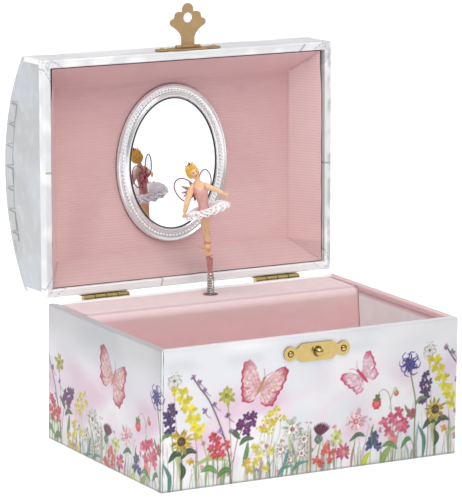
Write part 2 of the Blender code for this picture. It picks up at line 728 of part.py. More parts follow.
def screw(name, place, head_base, length, shank, head, steel):
    """A slotted cheese-head screw along Y, its head towards the front."""
    profile = [(shank, head_base + length), (shank, head_base), (head, head_base),
               (head, head_base - 0.9 * MM), (head * 0.85, head_base - 1.1 * MM)]
    body = lathe(name, "Y", place, profile, steel, sides=12)
    low = (place[0] - 2 * head, head_base - 2 * MM, place[1] - 0.2 * MM)
    high = (place[0] + 2 * head, head_base - 0.6 * MM, place[1] + 0.2 * MM)
    cut(body, box(f"{name}_slot", low, high))


def music_cylinder(brass):
    """The pinned drum with its arbor and, at the foot, the pinion that the crown wheel drives."""
    sides, rows = 36, NOTES
    centre = (CYLINDER_X, CYLINDER_Y)
    bm = bmesh.new()
    rings = []
    for i in range(rows + 1):
        z = DRUM_LOW + (DRUM_HIGH - DRUM_LOW) * i / rows
        rings.append([(a, b, z) for a, b in circle(centre, CYLINDER_RADIUS, sides)])
    add_loft(bm, rings)
    bm.faces.ensure_lookup_table()
    walls = [f for f in bm.faces if len(f.verts) == 4]
    raised = [walls[(row * sides + (row * 11 + 7) % sides)] for row in range(rows)]
    raised += [walls[(row * sides + (row * 17 + 20) % sides)] for row in range(0, rows, 2)]
    for face in raised:
        bmesh.ops.inset_individual(bm, faces=[face], thickness=PIN_INSET)
        middle = face.calc_center_median()
        away = Vector((middle.x - centre[0], middle.y - centre[1], 0)).normalized()
        out = bmesh.ops.extrude_discrete_faces(bm, faces=[face])["faces"][0]
        bmesh.ops.translate(bm, verts=out.verts, vec=away * PIN_HEIGHT)
    drum = finish("music_cylinder", bm, brass)
    join(drum, rod("cylinder_arbor", "Z", centre, 1.0 * MM, 22.0 * MM, 58.0 * MM, sides=16))
    phase = mesh_phase(PINION_TEETH, math.radians(90))
    teeth = gear_outline(centre, PINION_TEETH, phase=phase)
    join(drum, prism("cylinder_pinion", teeth, "Z", DRIVE_PINION_Z - 1.2 * MM, DRIVE_PINION_Z + 1.2 * MM))


def cylinder_gear(brass):
    centre = (CYLINDER_X, CYLINDER_Y)
    towards = math.atan2(SPINDLE_Y - CYLINDER_Y, SPINDLE_X - CYLINDER_X)
    gear = prism("cylinder_gear", gear_outline(centre, CYLINDER_TEETH, phase=towards), "Z", GEAR_LOW,
                 GEAR_HIGH, brass)
    cut(gear, rod("cylinder_gear_bore", "Z", centre, 1.3 * MM, GEAR_LOW - MM, GEAR_HIGH + MM, sides=16))


def dancer_spindle(steel):
    """The upright shaft under the dancer: a pinion in mesh with the cylinder gear, and a spring post."""
    centre = (SPINDLE_X, SPINDLE_Y)
    post, shaft = 0.95 * MM, 1.2 * MM
    shoulder = 61.0 * MM
    profile = [(shaft, 50.5 * MM), (shaft, shoulder), (post, shoulder), (post, DECK_TOP - 0.4 * MM)]
    spindle = lathe("dancer_spindle", "Z", centre, profile, steel, sides=16)
    towards = math.atan2(CYLINDER_Y - SPINDLE_Y, CYLINDER_X - SPINDLE_X)
    teeth = gear_outline(centre, PINION_TEETH, phase=mesh_phase(PINION_TEETH, towards))
    join(spindle, prism("spindle_pinion", teeth, "Z", GEAR_LOW, GEAR_HIGH))


def governor_wheel(brass):
    """A pinion driven by the cylinder gear over the wheel that drives the fan's worm."""
    centre = (GOVERNOR_X, GOVERNOR_Y)
    # the cylinder gear's own phase says how far past a tooth it faces this wheel
    gear_phase = math.atan2(SPINDLE_Y - CYLINDER_Y, SPINDLE_X - CYLINDER_X)
    step = 2 * math.pi / CYLINDER_TEETH
    offset = ((GOVERNOR_ANGLE - gear_phase) / step) % 1.0
    towards = GOVERNOR_ANGLE + math.pi
    own_step = 2 * math.pi / PINION_TEETH
    phase = towards + (0.5 + offset) * own_step
    wheel = prism("governor_wheel", gear_outline(centre, PINION_TEETH, phase=phase), "Z", GEAR_LOW,
                  GEAR_HIGH, brass)
    join(wheel, rod("governor_wheel_arbor", "Z", centre, 0.8 * MM, 48 * MM, 58 * MM, sides=12))
    teeth = gear_outline(centre, WORM_WHEEL_TEETH)
    join(wheel, prism("worm_wheel", teeth, "Z", WORM_Z - 0.8 * MM, WORM_Z + 0.8 * MM))


def governor(brass):
    """A worm shaft along X with a two-blade air fan at one end and a brake drum at the other."""
    centre = (WORM_Y, WORM_Z)
    shaft = rod("governor", "X", centre, 0.7 * MM, FAN_END, DRUM_END, brass, sides=10)
    pitch = math.pi * MODULE
    turns, per_turn = 5, 8
    start = GOVERNOR_X - pitch * turns / 2
    path = []
    for i in range(turns * per_turn + 1):
        t = 2 * math.pi * i / per_turn
        radius = WORM_RADIUS - 0.35 * MM
        path.append((start + pitch * i / per_turn, centre[0] + radius * math.cos(t),
                     centre[1] + radius * math.sin(t)))
    join(shaft, tube("worm_thread", path, 0.33 * MM, sides=4))
    drum = (DRUM_END - 2.4 * MM, DRUM_END)
    join(shaft, rod("brake_drum", "X", centre, BRAKE_DRUM_RADIUS, *drum, sides=12))
    fan = (FAN_END + 0.5 * MM, FAN_END + 4.5 * MM)
    join(shaft, box("fan_blades", (fan[0], WORM_Y - 4.0 * MM, WORM_Z - 0.25 * MM),
                    (fan[1], WORM_Y + 4.0 * MM, WORM_Z + 0.25 * MM)))


def spring_barrel(metal):
    centre = (CYLINDER_X, KEY_Z)
    back, front = PLATE_FRONT - GAP, 43.3 * MM
    radius = 9.6 * MM
    profile = [(radius * 0.9, back), (radius, back - 0.8 * MM), (radius, front + 0.8 * MM),
               (radius * 0.9, front)]
    barrel = lathe("spring_barrel", "Y", centre, profile, metal, sides=28)
    cut(barrel, rod("barrel_bore", "Y", centre, 1.9 * MM, front - MM, back + MM, sides=16))


def crown_wheel(brass):
    """A face gear on the winding arbor: straight teeth stand on the rim and drive the pinion."""
    centre = (CYLINDER_X, KEY_Z)
    base, back = 41.75 * MM, 43.0 * MM
    tip = CYLINDER_Y + MODULE * PINION_TEETH / 2 - 0.36 * MM
    outer, inner = CROWN_RADIUS + 1.1 * MM, CROWN_RADIUS - 1.1 * MM
    wheel = lathe("crown_wheel", "Y", centre, [(1.5 * MM, 40.2 * MM), (1.5 * MM, base), (outer, base),
                                               (outer, back), (1.5 * MM, back), (1.5 * MM, 62.5 * MM)],
                  brass, sides=CROWN_TEETH)
    bm = bmesh.new()
    step = 2 * math.pi / CROWN_TEETH
    for i in range(CROWN_TEETH):
        a = math.pi / 2 + i * step
        out, side = Vector((math.cos(a), 0, math.sin(a))), Vector((-math.sin(a), 0, math.cos(a)))
        middle = Vector((centre[0], 0, centre[1]))
        rings = []
        for radius in (inner, outer - 0.1 * MM):
            at = middle + out * radius
            ring = []
            for y, half in ((base + 0.3 * MM, 0.24), (base + 0.3 * MM, -0.24), (tip, -0.12), (tip, 0.12)):
                point = at + side * (half * MM * radius / CROWN_RADIUS)
                ring.append((point.x, y, point.z))
            rings.append(ring)
        add_loft(bm, rings)
    join(wheel, finish("crown_teeth", bm, None))


def winding_key(steel):
    """A butterfly key on the arbor's outer end."""
    hub_low, hub_high = DEPTH / 2 + 1.0 * MM, DEPTH / 2 + 13.0 * MM
    centre = (CYLINDER_X, KEY_Z)
    key = rod("winding_key", "Y", centre, 2.6 * MM, hub_low, hub_high, steel, sides=16)
    half = [(0.0, 3.4), (3.0, 3.2)]
    wing = [(x * MM, z * MM) for x, z in half] + arc((8.2 * MM, 0), 4.6 * MM, 120, -120, 11)
    wing += [(3.0 * MM, -3.2 * MM), (0.0, -3.4 * MM)]
    low, high = -0.6 * MM, 0.6 * MM
    bm = bmesh.new()
    outline = [(centre[0] + x, hub_high - 2.0 * MM + z) for x, z in mirrored(wing[1:-1])]
    add_prism(bm, outline, "Z", centre[1] + low, centre[1] + high)
    join(key, finish("key_wings", bm, None))
    cut(key, rod("key_bore", "Y", centre, 1.8 * MM, hub_low - MM, hub_low + 4.5 * MM, sides=16))


def stop_wire(steel):
    """A bent wire: the closing lid lowers its tip, and its foot comes down on the brake drum."""
    foot_x = DRUM_END - 1.2 * MM
    clear = 0.1 * MM
    tip = TRAY_RIM + STOP_TRAVEL - clear
    foot = WORM_Z + BRAKE_DRUM_RADIUS + STOP_TRAVEL + clear
    turn, bend = 59.5 * MM, 0.8 * MM
    path = [
        (STOP_X, STOP_Y, tip), (STOP_X, STOP_Y, turn + bend), (STOP_X - bend, STOP_Y - bend / 2, turn),
        (foot_x + bend, WORM_Y + bend / 2, turn), (foot_x, WORM_Y, turn - bend), (foot_x, WORM_Y, foot),
    ]
    tube("stop_wire", path, STOP_WIRE, steel, sides=8)


# ---------------------------------------------------------------- dancer


def figure_oval(centre, wide, deep, sides=FIGURE_SIDES):
    """A level oval ring at a point (across, away, up) of the figure's own frame, in mm."""
    across, away, up = centre
    return [
        ((across + wide * math.cos(t)) * MM, (away + deep * math.sin(t)) * MM, up * MM)
        for t in (2 * math.pi * k / sides for k in range(sides))
    ]


def in_mm(points):
    return [(x * MM, y * MM, z * MM) for x, y, z in points]


def dancer_figure(dancer, skin):
    body = [
        ((-3.0, 0, 38.0), 2.3, 1.9), ((-3.1, 0, 40.5), 2.7, 2.2), ((-3.9, 0, 44.4), 2.15, 1.7),
        ((-4.8, 0, 48.2), 2.9, 1.9), ((-5.4, 0, 51.0), 3.4, 2.1), ((-6.0, 0, 53.4), 3.7, 1.6),
        ((-6.4, 0, 54.9), 2.4, 1.2), ((-6.8, 0, 56.0), 1.05, 1.0), ((-7.3, 0, 58.4), 0.95, 0.95),
    ]
    figure = local_loft("dancer_figure", [figure_oval(*ring) for ring in body], dancer, skin)
    head = [
        ((-7.6, 0, 57.6), 1.3, 1.3), ((-8.2, 0, 58.6), 2.5, 2.5), ((-9.2, 0, 60.6), 3.2, 3.2),
        ((-10.0, 0, 62.6), 3.0, 3.0), ((-10.6, 0, 64.3), 1.9, 1.9), ((-10.9, 0, 64.9), 0.8, 0.8),
    ]
    join(figure, local_loft("head", [figure_oval(*ring) for ring in head], dancer))
    crown = [((-11.0, 0, 63.6), 2.0, 1.6), ((-11.6, 0, 65.6), 2.1, 1.6)]
    join(figure, local_loft("crown", [figure_oval(*ring, sides=10) for ring in crown], dancer))
    limbs = {
        "arm_one": ([(-8.9, 0, 53.6), (-10.6, -1.4, 50.2), (-11.7, -2.8, 45.9), (-12.7, -3.9, 41.8),
                     (-13.4, -4.6, 38.4)], (1.15, 1.1, 0.95, 0.85, 0.75)),
        "arm_two": ([(-3.2, 0, 53.8), (-0.9, -0.4, 53.0), (2.0, -0.9, 52.2), (5.2, -1.4, 51.2),
                     (8.0, -1.7, 49.3)], (1.15, 1.0, 0.9, 0.8, 0.7)),
        "standing_leg": ([(-2.2, 0.3, 39.5), (-2.1, 0.3, 31.0), (-1.6, 0.2, 25.0), (-0.9, 0, 19.0),
                          (-0.4, 0, 14.0), (-0.05, 0, 10.4)], (2.0, 1.8, 1.6, 1.35, 1.3, 1.15)),
        "crossed_leg": ([(-3.6, -0.3, 39.5), (-3.6, -0.8, 32.0), (-2.6, -1.2, 26.0), (-2.2, -1.3, 24.6)],
                        (1.8, 1.5, 1.4, 1.1)),
        "crossed_foot": ([(-1.6, -1.2, 25.2), (-4.0, -1.2, 24.6), (-6.4, -0.9, 23.8)], (1.1, 1.0, 0.55)),
    }
    for name, (points, radii) in limbs.items():
        rings = tube_rings(in_mm(points), [r * MM for r in radii], 8)
        join(figure, local_loft(name, rings, dancer))
    smooth(figure, 50)


def local_loft(name, rings, parent, material=None, close=False):
    """A loft in its parent's own turned frame, centred on the spindle's axis at the deck's top."""
    obj = loft(name, rings, material, close=close)
    obj.parent = parent
    return smooth(obj)


def dancer_tutu(dancer, net):
    """A thick ruffled ring, tilted, with an opening for the hips left of its middle."""
    count = 36
    tilt = Matrix.Rotation(math.radians(-18.6), 4, "Y")
    centre = Vector((-1.9, 0, 41.9))
    sections = []
    for k in range(count):
        t = 2 * math.pi * k / count
        wave = 0.5 * math.sin(6 * t)
        inner = (3.15 * math.cos(t) - 1.35, 2.75 * math.sin(t))
        profile = [(*inner, -0.7)]
        for radius, height in ((10.4, -1.0 + wave), (10.9, 0.3 + wave), (10.3, 1.3 + wave)):
            profile.append((radius * math.cos(t), radius * math.sin(t), height))
        profile.append((*inner, 1.1))
        sections.append([(tilt @ Vector(point) + centre) * MM for point in profile])
    local_loft("dancer_tutu", sections, dancer, net, close=True)


def wing_plate(name, outline, dancer, material=None):
    """A flat wing standing behind the figure's back."""
    bm = bmesh.new()
    add_prism(bm, [(x * MM, z * MM) for x, z in outline], "Y", 2.75 * MM, 3.25 * MM)
    obj = finish(name, bm, material)
    obj.parent = dancer
    return obj


def wing_outline(centre, along, across, angle, root):
    """A teardrop: an ellipse whose near end is drawn out to its root."""
    turn = math.radians(angle)
    points = []
    for a, b in arc((0, 0), 1.0, -140, 140, 15):
        x, z = along * a, across * b
        points.append((centre[0] + x * math.cos(turn) - z * math.sin(turn),
                       centre[1] + x * math.sin(turn) + z * math.cos(turn)))
    return points + [(root[0], root[1])]


def dancer_wings(dancer, film):
    root = (-6.3, 51.0)
    wings = wing_plate("dancer_wings", wing_outline((-13.6, 50.9), 5.0, 5.6, 172, root), dancer, film)
    join(wings, wing_plate("wing_two", wing_outline((-3.1, 55.8), 5.0, 3.1, 74, root), dancer))
    join(wings, wing_plate("wing_root", circle(root, 1.2, 10), dancer))


def back_ornament(dancer, red):
    """A star of pointed sequin leaves at the waist's back."""
    points = []
    rays = 7
    for i in range(rays * 2):
        radius = 6.0 if i % 2 == 0 else 2.0
        a = math.radians(180) + math.pi * i / rays
        points.append(((-7.6 + radius * math.cos(a)) * MM, (49.6 + radius * math.sin(a)) * MM))
    bm = bmesh.new()
    add_prism(bm, points, "Y", 3.6 * MM, 4.2 * MM)
    obj = finish("back_ornament", bm, red)
    obj.parent = dancer


def spring_socket(dancer, steel):
    profile = [(1.05, 7.4), (1.05, 8.6), (1.75, 8.6), (1.75, 9.4), (1.2, 9.6), (1.2, 10.0)]
    rings = [[(x, y, z * MM) for x, y in circle((0, 0), radius * MM, 16)] for radius, z in profile]
    local_loft("spring_socket", rings, dancer, steel)


def coil_spring(steel):
    low, high = 61.5 * MM, DECK_TOP + 8.0 * MM
    turns, per_turn = 13, 9
    path = []
    for i in range(turns * per_turn + 1):
        t = 2 * math.pi * i / per_turn
        path.append((SPINDLE_X + SPRING_RADIUS * math.cos(t), SPINDLE_Y + SPRING_RADIUS * math.sin(t),
                     low + (high - low) * i / (turns * per_turn)))
    tube("coil_spring", path, SPRING_WIRE, steel, sides=5)


# ---------------------------------------------------------------- assembly


def main():
    clear_scene()
    paper = make_material("silver_paper", (0.80, 0.81, 0.84), 0.35, 0.25)
    pink = make_material("pink_lining", (0.72, 0.42, 0.42), 0.85)
    brass = make_material("brass", (0.80, 0.62, 0.28), 0.25, 1.0)
    steel = make_material("steel", (0.62, 0.60, 0.58), 0.3, 1.0)
    metal = make_material("cast_metal", (0.55, 0.54, 0.50), 0.45, 1.0)
    chrome = make_material("silvered_frame", (0.88, 0.88, 0.90), 0.15, 0.9)
    glass = make_material("mirror_glass", (0.93, 0.95, 0.97), 0.03, 1.0)
    skin = make_material("painted_figure", (0.80, 0.50, 0.34), 0.5)
    net = make_material("white_net", (0.92, 0.90, 0.90), 0.8)
    film = make_material("wing_film", (0.45, 0.28, 0.34), 0.3)
    red = make_material("red_sequins", (0.45, 0.02, 0.05), 0.3)

    case_panels(paper)
    compartment_lining(pink)
    deck_cover(pink)

    lid = pivot("lid_pivot", (0, HINGE_Y, HINGE_Z), turn=(-LID_OPEN, 0, 0))
    lid_panels(lid, paper)
    lid_lining(lid, pink)
    mirror(lid, chrome, glass)
    hinges(lid, brass)
    latch(brass)
    hasp(lid, brass)

    mounts = bedplate(metal)
    for index, place in enumerate(mounts, 1):
        screw(f"movement_screw_{index}", place, PLATE_FRONT - 0.1 * MM, 2.9 * MM, 0.9 * MM, 2.0 * MM, steel)
    comb(steel)
    music_cylinder(brass)
    cylinder_gear(brass)
    dancer_spindle(steel)
    governor_wheel(brass)
    governor(brass)
    spring_barrel(metal)
    crown_wheel(brass)
    winding_key(steel)
    stop_wire(steel)

    fold = pivot("dancer_fold_pivot", (SPINDLE_X, SPINDLE_Y, DECK_TOP + FOLD_HEIGHT))
    dancer = pivot("dancer_pivot", (SPINDLE_X, SPINDLE_Y, DECK_TOP), fold, (0, 0, DANCER_TURN))
    coil_spring(steel)
    spring_socket(dancer, steel)
    dancer_figure(dancer, skin)
    dancer_tutu(dancer, net)
    dancer_wings(dancer, film)
    back_ornament(dancer, red)


main()
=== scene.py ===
import json
import math

import bmesh
import bpy
import numpy as np
from mathutils import Matrix, Vector


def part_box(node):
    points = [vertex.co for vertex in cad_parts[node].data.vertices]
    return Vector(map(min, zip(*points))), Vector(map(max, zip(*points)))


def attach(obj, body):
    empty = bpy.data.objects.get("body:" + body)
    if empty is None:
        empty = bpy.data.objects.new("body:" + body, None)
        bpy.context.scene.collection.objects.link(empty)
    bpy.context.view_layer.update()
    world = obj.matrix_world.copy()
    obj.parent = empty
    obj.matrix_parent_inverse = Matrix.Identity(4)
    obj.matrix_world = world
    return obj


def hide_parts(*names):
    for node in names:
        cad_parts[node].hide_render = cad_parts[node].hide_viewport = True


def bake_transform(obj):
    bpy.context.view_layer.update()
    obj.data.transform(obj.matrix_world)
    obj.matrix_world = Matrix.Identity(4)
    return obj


# The looks of a ballerina jewellery box: floral silver paper on the case, a domed lid with a ribbed
# pink lining and a beaded oval mirror, brass fittings, a musical movement under a fabric deck, and a
# dancer on a coil spring. Shape functions work in millimetres; Blender's meshes are in metres.

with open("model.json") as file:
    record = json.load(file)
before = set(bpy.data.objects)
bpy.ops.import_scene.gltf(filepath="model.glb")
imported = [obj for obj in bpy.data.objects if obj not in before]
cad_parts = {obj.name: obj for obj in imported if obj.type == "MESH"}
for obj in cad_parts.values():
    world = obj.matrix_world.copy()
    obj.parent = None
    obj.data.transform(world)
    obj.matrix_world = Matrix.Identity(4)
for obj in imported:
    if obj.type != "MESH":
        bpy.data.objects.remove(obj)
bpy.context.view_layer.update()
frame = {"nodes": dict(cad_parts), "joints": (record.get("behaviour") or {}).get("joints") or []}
NODES = frame["nodes"]
JOINTS = {joint["name"]: joint for joint in frame["joints"]}
MM = 0.001
TURN = 2 * math.pi


def box_mm(node):
    low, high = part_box(node)
    return np.array(low) / MM, np.array(high) / MM


# ---------------------------------------------------------------- dimensions read from the frame, mm

FRONT_LOW, FRONT_HIGH = box_mm("case_front_panel")
HALF = FRONT_HIGH[0]  # half the case's length
EDGE = box_mm("case_back_panel")[1][1]  # half its depth
WALL = FRONT_HIGH[1] - FRONT_LOW[1]
CASE_TOP = FRONT_HIGH[2]
LINING_LOW, LINING_HIGH = box_mm("compartment_lining")
DECK_LOW, DECK_HIGH = box_mm("deck_cover")
DECK_FOOT, DECK_TOP = DECK_LOW[2], DECK_HIGH[2]
WIRE = box_mm("stop_wire")[1] - 0.5  # the middle of the stop wire's top
LATCH_FACE = box_mm("latch_plate")[0][1]
HINGE_Y, HINGE_Z = [v / MM for v in JOINTS["lid_hinge"]["pos_m"][1:]]
LID_OPEN = math.radians(JOINTS["lid_hinge"]["range_deg"][1])
SPIN_X, SPIN_Y = [v / MM for v in JOINTS["dancer_spin"]["pos_m"][:2]]
KEY_X, _, KEY_Z = [v / MM for v in JOINTS["winding_spin"]["pos_m"]]
FIGURE_TURN = math.radians(-29.6)

# The lid's parts are shaped in the lid's closed place and then opened about the hinge.
OPEN = (
    Matrix.Translation((0, HINGE_Y, HINGE_Z))
    @ Matrix.Rotation(-LID_OPEN, 4, "X")
    @ Matrix.Translation((0, -HINGE_Y, -HINGE_Z))
)
# The dancer's own frame: across, away from the viewer, and up from the deck, about the spring's axis.
FIGURE = Matrix.Translation((SPIN_X, SPIN_Y, DECK_TOP)) @ Matrix.Rotation(FIGURE_TURN, 4, "Z")


def moved(points, matrix):
    turn = np.array(matrix.to_3x3())
    return np.asarray(points, float) @ turn.T + np.array(matrix.translation)


def closed_box(node):
    """A lid node's lowest and highest corners with the lid closed, in mm."""
    rest = np.array([v.co for v in NODES[node].data.vertices]) / MM
    shut = moved(rest, OPEN.inverted())
    return shut.min(0), shut.max(0)


RIM = closed_box("lid_front_panel")[0][2]
APEX = closed_box("lid_top_panel")[1][2]
DOME_RISE = 20.8
DOME_FOOT = APEX - DOME_RISE
DOME_RADIUS = (EDGE**2 + DOME_RISE**2) / (2 * DOME_RISE)
TRAY_LOW, TRAY_HIGH = closed_box("lid_lining_tray")
RING_LOW, RING_HIGH = closed_box("mirror_frame")
GLASS_FACE = closed_box("mirror_glass")[0][2]


# ---------------------------------------------------------------- numbers and colours

def ripple(points, wavelength, seed, waves=14):
    """A smooth random field, mostly within -1 and 1, made of plane waves in random directions. The
    wavelength is in the points' unit, and each seed is another pattern."""
    points = np.asarray(points, float)
    rng = np.random.default_rng(seed)
    directions = rng.normal(size=(waves, points.shape[-1]))
    directions /= np.linalg.norm(directions, axis=1)[:, None]
    lengths = wavelength * rng.uniform(0.7, 1.7, waves)
    phases = rng.uniform(0, TURN, waves)
    total = np.zeros(points.shape[:-1])
    for direction, length, phase in zip(directions, lengths, phases):
        total += np.sin(points @ direction * (TURN / length) + phase)
    return total / math.sqrt(waves / 2) / 1.8


def bell(value, width, power=2):
    """1 where the value is 0, falling away on both sides of it."""
    return np.exp(-((value / width) ** power))


def creases(points, wavelength, seed, sharpness=0.10):
    """1 along thin wandering lines, falling to 0 between them."""
    return bell(ripple(points, wavelength, seed), sharpness)


def ramp(value, low, high):
    """0 up to low, 1 from high on, and smooth between them."""
    t = np.clip((value - low) / (high - low), 0, 1)
    return t * t * (3 - 2 * t)


def colour(code):
    """A hex colour as three sRGB numbers from 0 to 1; colours that are numbers already pass through."""
    if not isinstance(code, str):
        return np.asarray(code)
    return np.array([int(code[i : i + 2], 16) / 255 for i in (0, 2, 4)])


def mixed(a, b, share):
    share = np.asarray(share)[..., None]
    return colour(a) * (1 - share) + colour(b) * share


def coats(paint, *layers):
    """Lays tones over a colour in turn, each with its share at every point."""
    for tone, share in layers:
        paint = mixed(paint, tone, share)
    return paint


def linear(srgb):
    srgb = np.clip(np.asarray(srgb, float), 0, 1)
    return np.where(srgb <= 0.04045, srgb / 12.92, ((srgb + 0.055) / 1.055) ** 2.4)


# ---------------------------------------------------------------- outlines

def oval_ring(centre, wide, deep, count, upright=False):
    """Points round an ellipse. Its second axis runs up if it is upright, else away along y."""
    t = np.linspace(0, TURN, count, endpoint=False)
    across, other = wide * np.cos(t), deep * np.sin(t)
    offset = [across, 0 * t, other] if upright else [across, other, 0 * t]
    return np.asarray(centre, float) + np.stack(offset, -1)


def curve(points, count):
    """A smooth path through a few points (Catmull-Rom)."""
    points = np.asarray(points, float)
    padded = np.vstack([2 * points[0] - points[1], points, 2 * points[-1] - points[-2]])
    spans = len(points) - 1
    result = []
    for t in np.linspace(0, spans, count):
        i = min(int(t), spans - 1)
        u = t - i
        p0, p1, p2, p3 = padded[i : i + 4]
        result.append(
            0.5 * (2 * p1 + (p2 - p0) * u + (2 * p0 - 5 * p1 + 4 * p2 - p3) * u**2
                   + (3 * p1 - p0 - 3 * p2 + p3) * u**3)
        )
    return np.array(result)


def closed_curve(points, count):
    """A smooth loop through a few points."""
    points = np.asarray(points, float)
    extended = np.vstack([points[-2:], points, points[:2]])
    path = curve(extended, count * 2)
    start, stop = [int(n / (len(extended) - 1) * count * 2) for n in (2, len(points) + 2)]
    return path[start:stop]


def arc_points(centre, radius, first, last, count):
    """Points along a flat arc between two angles in degrees."""
    angles = np.radians(np.linspace(first, last, count))
    return np.stack([centre[0] + radius * np.cos(angles), centre[1] + radius * np.sin(angles)], -1)


def tube_rings(path, radii, sides, closed=False, flatten=1.0):
    """Rings round a path, each square to it."""
    if closed:
        ahead = np.roll(path, -1, 0) - np.roll(path, 1, 0)
    else:
        ahead = np.gradient(path, axis=0)
    ahead = ahead / np.linalg.norm(ahead, axis=1)[:, None]
    side = np.cross(ahead[0], (0.31, 0.22, 0.93))
    side /= np.linalg.norm(side)
    around = np.arange(sides) * TURN / sides
    rings = []
    for point, direction, radius in zip(path, ahead, radii):
        side = side - direction * (side @ direction)
        side /= np.linalg.norm(side)
        other = np.cross(direction, side)
        turned_side = np.cos(around)[:, None] * side + flatten * np.sin(around)[:, None] * other
        rings.append(point + radius * turned_side)
    return np.array(rings)


# ---------------------------------------------------------------- meshes

class Shape:
    """Grids and tubes gathered into one mesh, in mm."""

    def __init__(self):
        self.points = []
        self.faces = []
        self.count = 0

    def grid(self, points, wrap=(False, False), caps=False, ends=False):
        """A sheet of quads. caps closes the first and last rows, and ends the first and last columns."""
        rows, cols = points.shape[:2]
        r = np.arange(rows if wrap[0] else rows - 1)
        c = np.arange(cols if wrap[1] else cols - 1)
        row, col = np.meshgrid(r, c, indexing="ij")
        next_row, next_col = (row + 1) % rows, (col + 1) % cols
        quads = np.stack([row * cols + col, row * cols + next_col, next_row * cols + next_col,
                          next_row * cols + col], axis=-1)
        faces = quads.reshape(-1, 4).tolist()
        if caps:
            faces += [range(cols), range((rows - 1) * cols, rows * cols)]
        if ends:
            faces += [range(0, rows * cols, cols), range(cols - 1, rows * cols, cols)]
        self.faces += [tuple(i + self.count for i in face) for face in faces]
        self.points.append(np.asarray(points, float).reshape(-1, 3))
        self.count += rows * cols
        return self

    def slab(self, top, under, gone=None):
        """Two equal sheets closed by a rim. Points marked as gone leave a hole in both."""
        rows, cols = top.shape[:2]
        size = rows * cols
        self.grid(top).grid(under)
        if gone is not None:
            mask = gone.ravel()
            self.faces = [face for face in self.faces if not any(mask[i % size] for i in face)]
        rim = [*range(cols), *range(2 * cols - 1, size, cols), *range(size - 2, size - cols - 1, -1),
               *range(size - 2 * cols, 0, -cols)]
        self.faces += [(a, b, b + size, a + size) for a, b in zip(rim, rim[1:] + rim[:1])]
        return self

    def tube(self, path, radii, sides=10, closed=False, flatten=1.0):
        path = np.asarray(path, float)
        radii = np.broadcast_to(radii, len(path))
        return self.grid(tube_rings(path, radii, sides, closed, flatten), (closed, True), caps=not closed)

    def oval(self, centre, radii, rings=8, sides=12):
        """A closed ellipsoid."""
        polar = np.linspace(0.04, math.pi - 0.04, rings)[:, None]
        around = np.linspace(0, TURN, sides, endpoint=False)[None, :]
        unit = np.stack([np.sin(polar) * np.cos(around), np.sin(polar) * np.sin(around),
                         np.cos(polar) + 0 * around], -1)
        return self.grid(unit * np.asarray(radii) + np.asarray(centre), (False, True), caps=True)

    def build(self, name, body, material, place=None, slot=None, replaces=(), sharp=40, paint=()):
        """Makes the object, on its body. Each paint covers the points that the ones before it leave;
        a single colour covers all the rest."""
        points = np.concatenate(self.points)
        if place is not None:
            points = moved(points, place)
        mesh = bpy.data.meshes.new(name)
        mesh.from_pydata((points * MM).tolist(), [], self.faces)
        edit_mesh(mesh, lambda bm: bmesh.ops.recalc_face_normals(bm, faces=bm.faces))
        if paint:
            add_paint(mesh, paint)
        mesh.shade_smooth()
        mesh.set_sharp_from_angle(angle=math.radians(sharp))
        return finish_piece(name, mesh, body, material, replaces)


def edit_mesh(mesh, change):
    bm = bmesh.new()
    bm.from_mesh(mesh)
    change(bm)
    bm.to_mesh(mesh)
    bm.free()


def add_paint(mesh, paints):
    """Keeps the points' colours on the mesh, from a row of sRGB arrays."""
    values = np.ones((len(mesh.vertices), 4), np.float32)
    at = 0
    for tones in paints:
        tones = linear(colour(tones)).reshape(-1, 3)
        stop = at + len(tones) if len(tones) > 1 else len(values)
        values[at:stop, :3] = tones
        at = stop
    mesh.attributes.new("paint", "FLOAT_COLOR", "POINT").data.foreach_set("color", values.ravel())


def finish_piece(name, mesh, body, material, replaces=()):
    mesh.materials.clear()
    mesh.materials.append(material)
    obj = add_object(name, mesh)
    if body:
        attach(obj, body)
    if replaces:
        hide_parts(*replaces)
    return obj


def add_object(name, data):
    obj = bpy.data.objects.new(name, data)
    bpy.context.scene.collection.objects.link(obj)
    return obj


# ---------------------------------------------------------------- materials

def feed(tree, node, inputs):
    """Links sockets to a node's inputs, and sets plain values on them."""
    for key, value in inputs.items():
        if isinstance(value, bpy.types.NodeSocket):
            tree.links.new(value, node.inputs[key])
        else:
            node.inputs[key].default_value = value


def add_node(tree, kind, inputs, output, **settings):
    """Adds a node with its inputs, and returns one of its outputs."""
    node = tree.nodes.new(kind)
    for key, value in settings.items():
        setattr(node, key, value)
    feed(tree, node, inputs)
    return node.outputs[output]


def node_material(name):
    material = bpy.data.materials.new(name)
    material.use_nodes = True
    return material, material.node_tree, material.node_tree.nodes["Principled BSDF"]


def object_place(tree):
    return add_node(tree, "ShaderNodeTexCoord", {}, "Object")


def noise(tree, scale, detail=4.0, stretch=None):
    """Noise in object space; scale is in features per metre, stretch scales each axis."""
    place = object_place(tree)
    if stretch:
        place = add_node(tree, "ShaderNodeMapping", {"Scale": stretch, "Vector": place}, "Vector")
    return add_node(tree, "ShaderNodeTexNoise", {"Scale": scale, "Detail": detail, "Vector": place}, "Fac")


def wave(tree, scale, direction, distortion):
    inputs = {"Scale": scale, "Distortion": distortion, "Detail": 1.0, "Vector": object_place(tree)}
    return add_node(tree, "ShaderNodeTexWave", inputs, "Fac", bands_direction=direction)


def spread(tree, value, low, high):
    """Maps a 0-1 value to low-high."""
    return add_node(tree, "ShaderNodeMapRange", {"To Min": low, "To Max": high, "Value": value}, "Result")


def math_node(tree, operation, first, second):
    return add_node(tree, "ShaderNodeMath", {0: first, 1: second}, 0, operation=operation)


def mix_node(tree, factor, first, second, **settings):
    inputs = {"A": first, "B": second, "Factor": factor}
    return add_node(tree, "ShaderNodeMix", inputs, "Result", data_type="RGBA", **settings)


def opaque(code):
    return (*linear(colour(code)), 1)


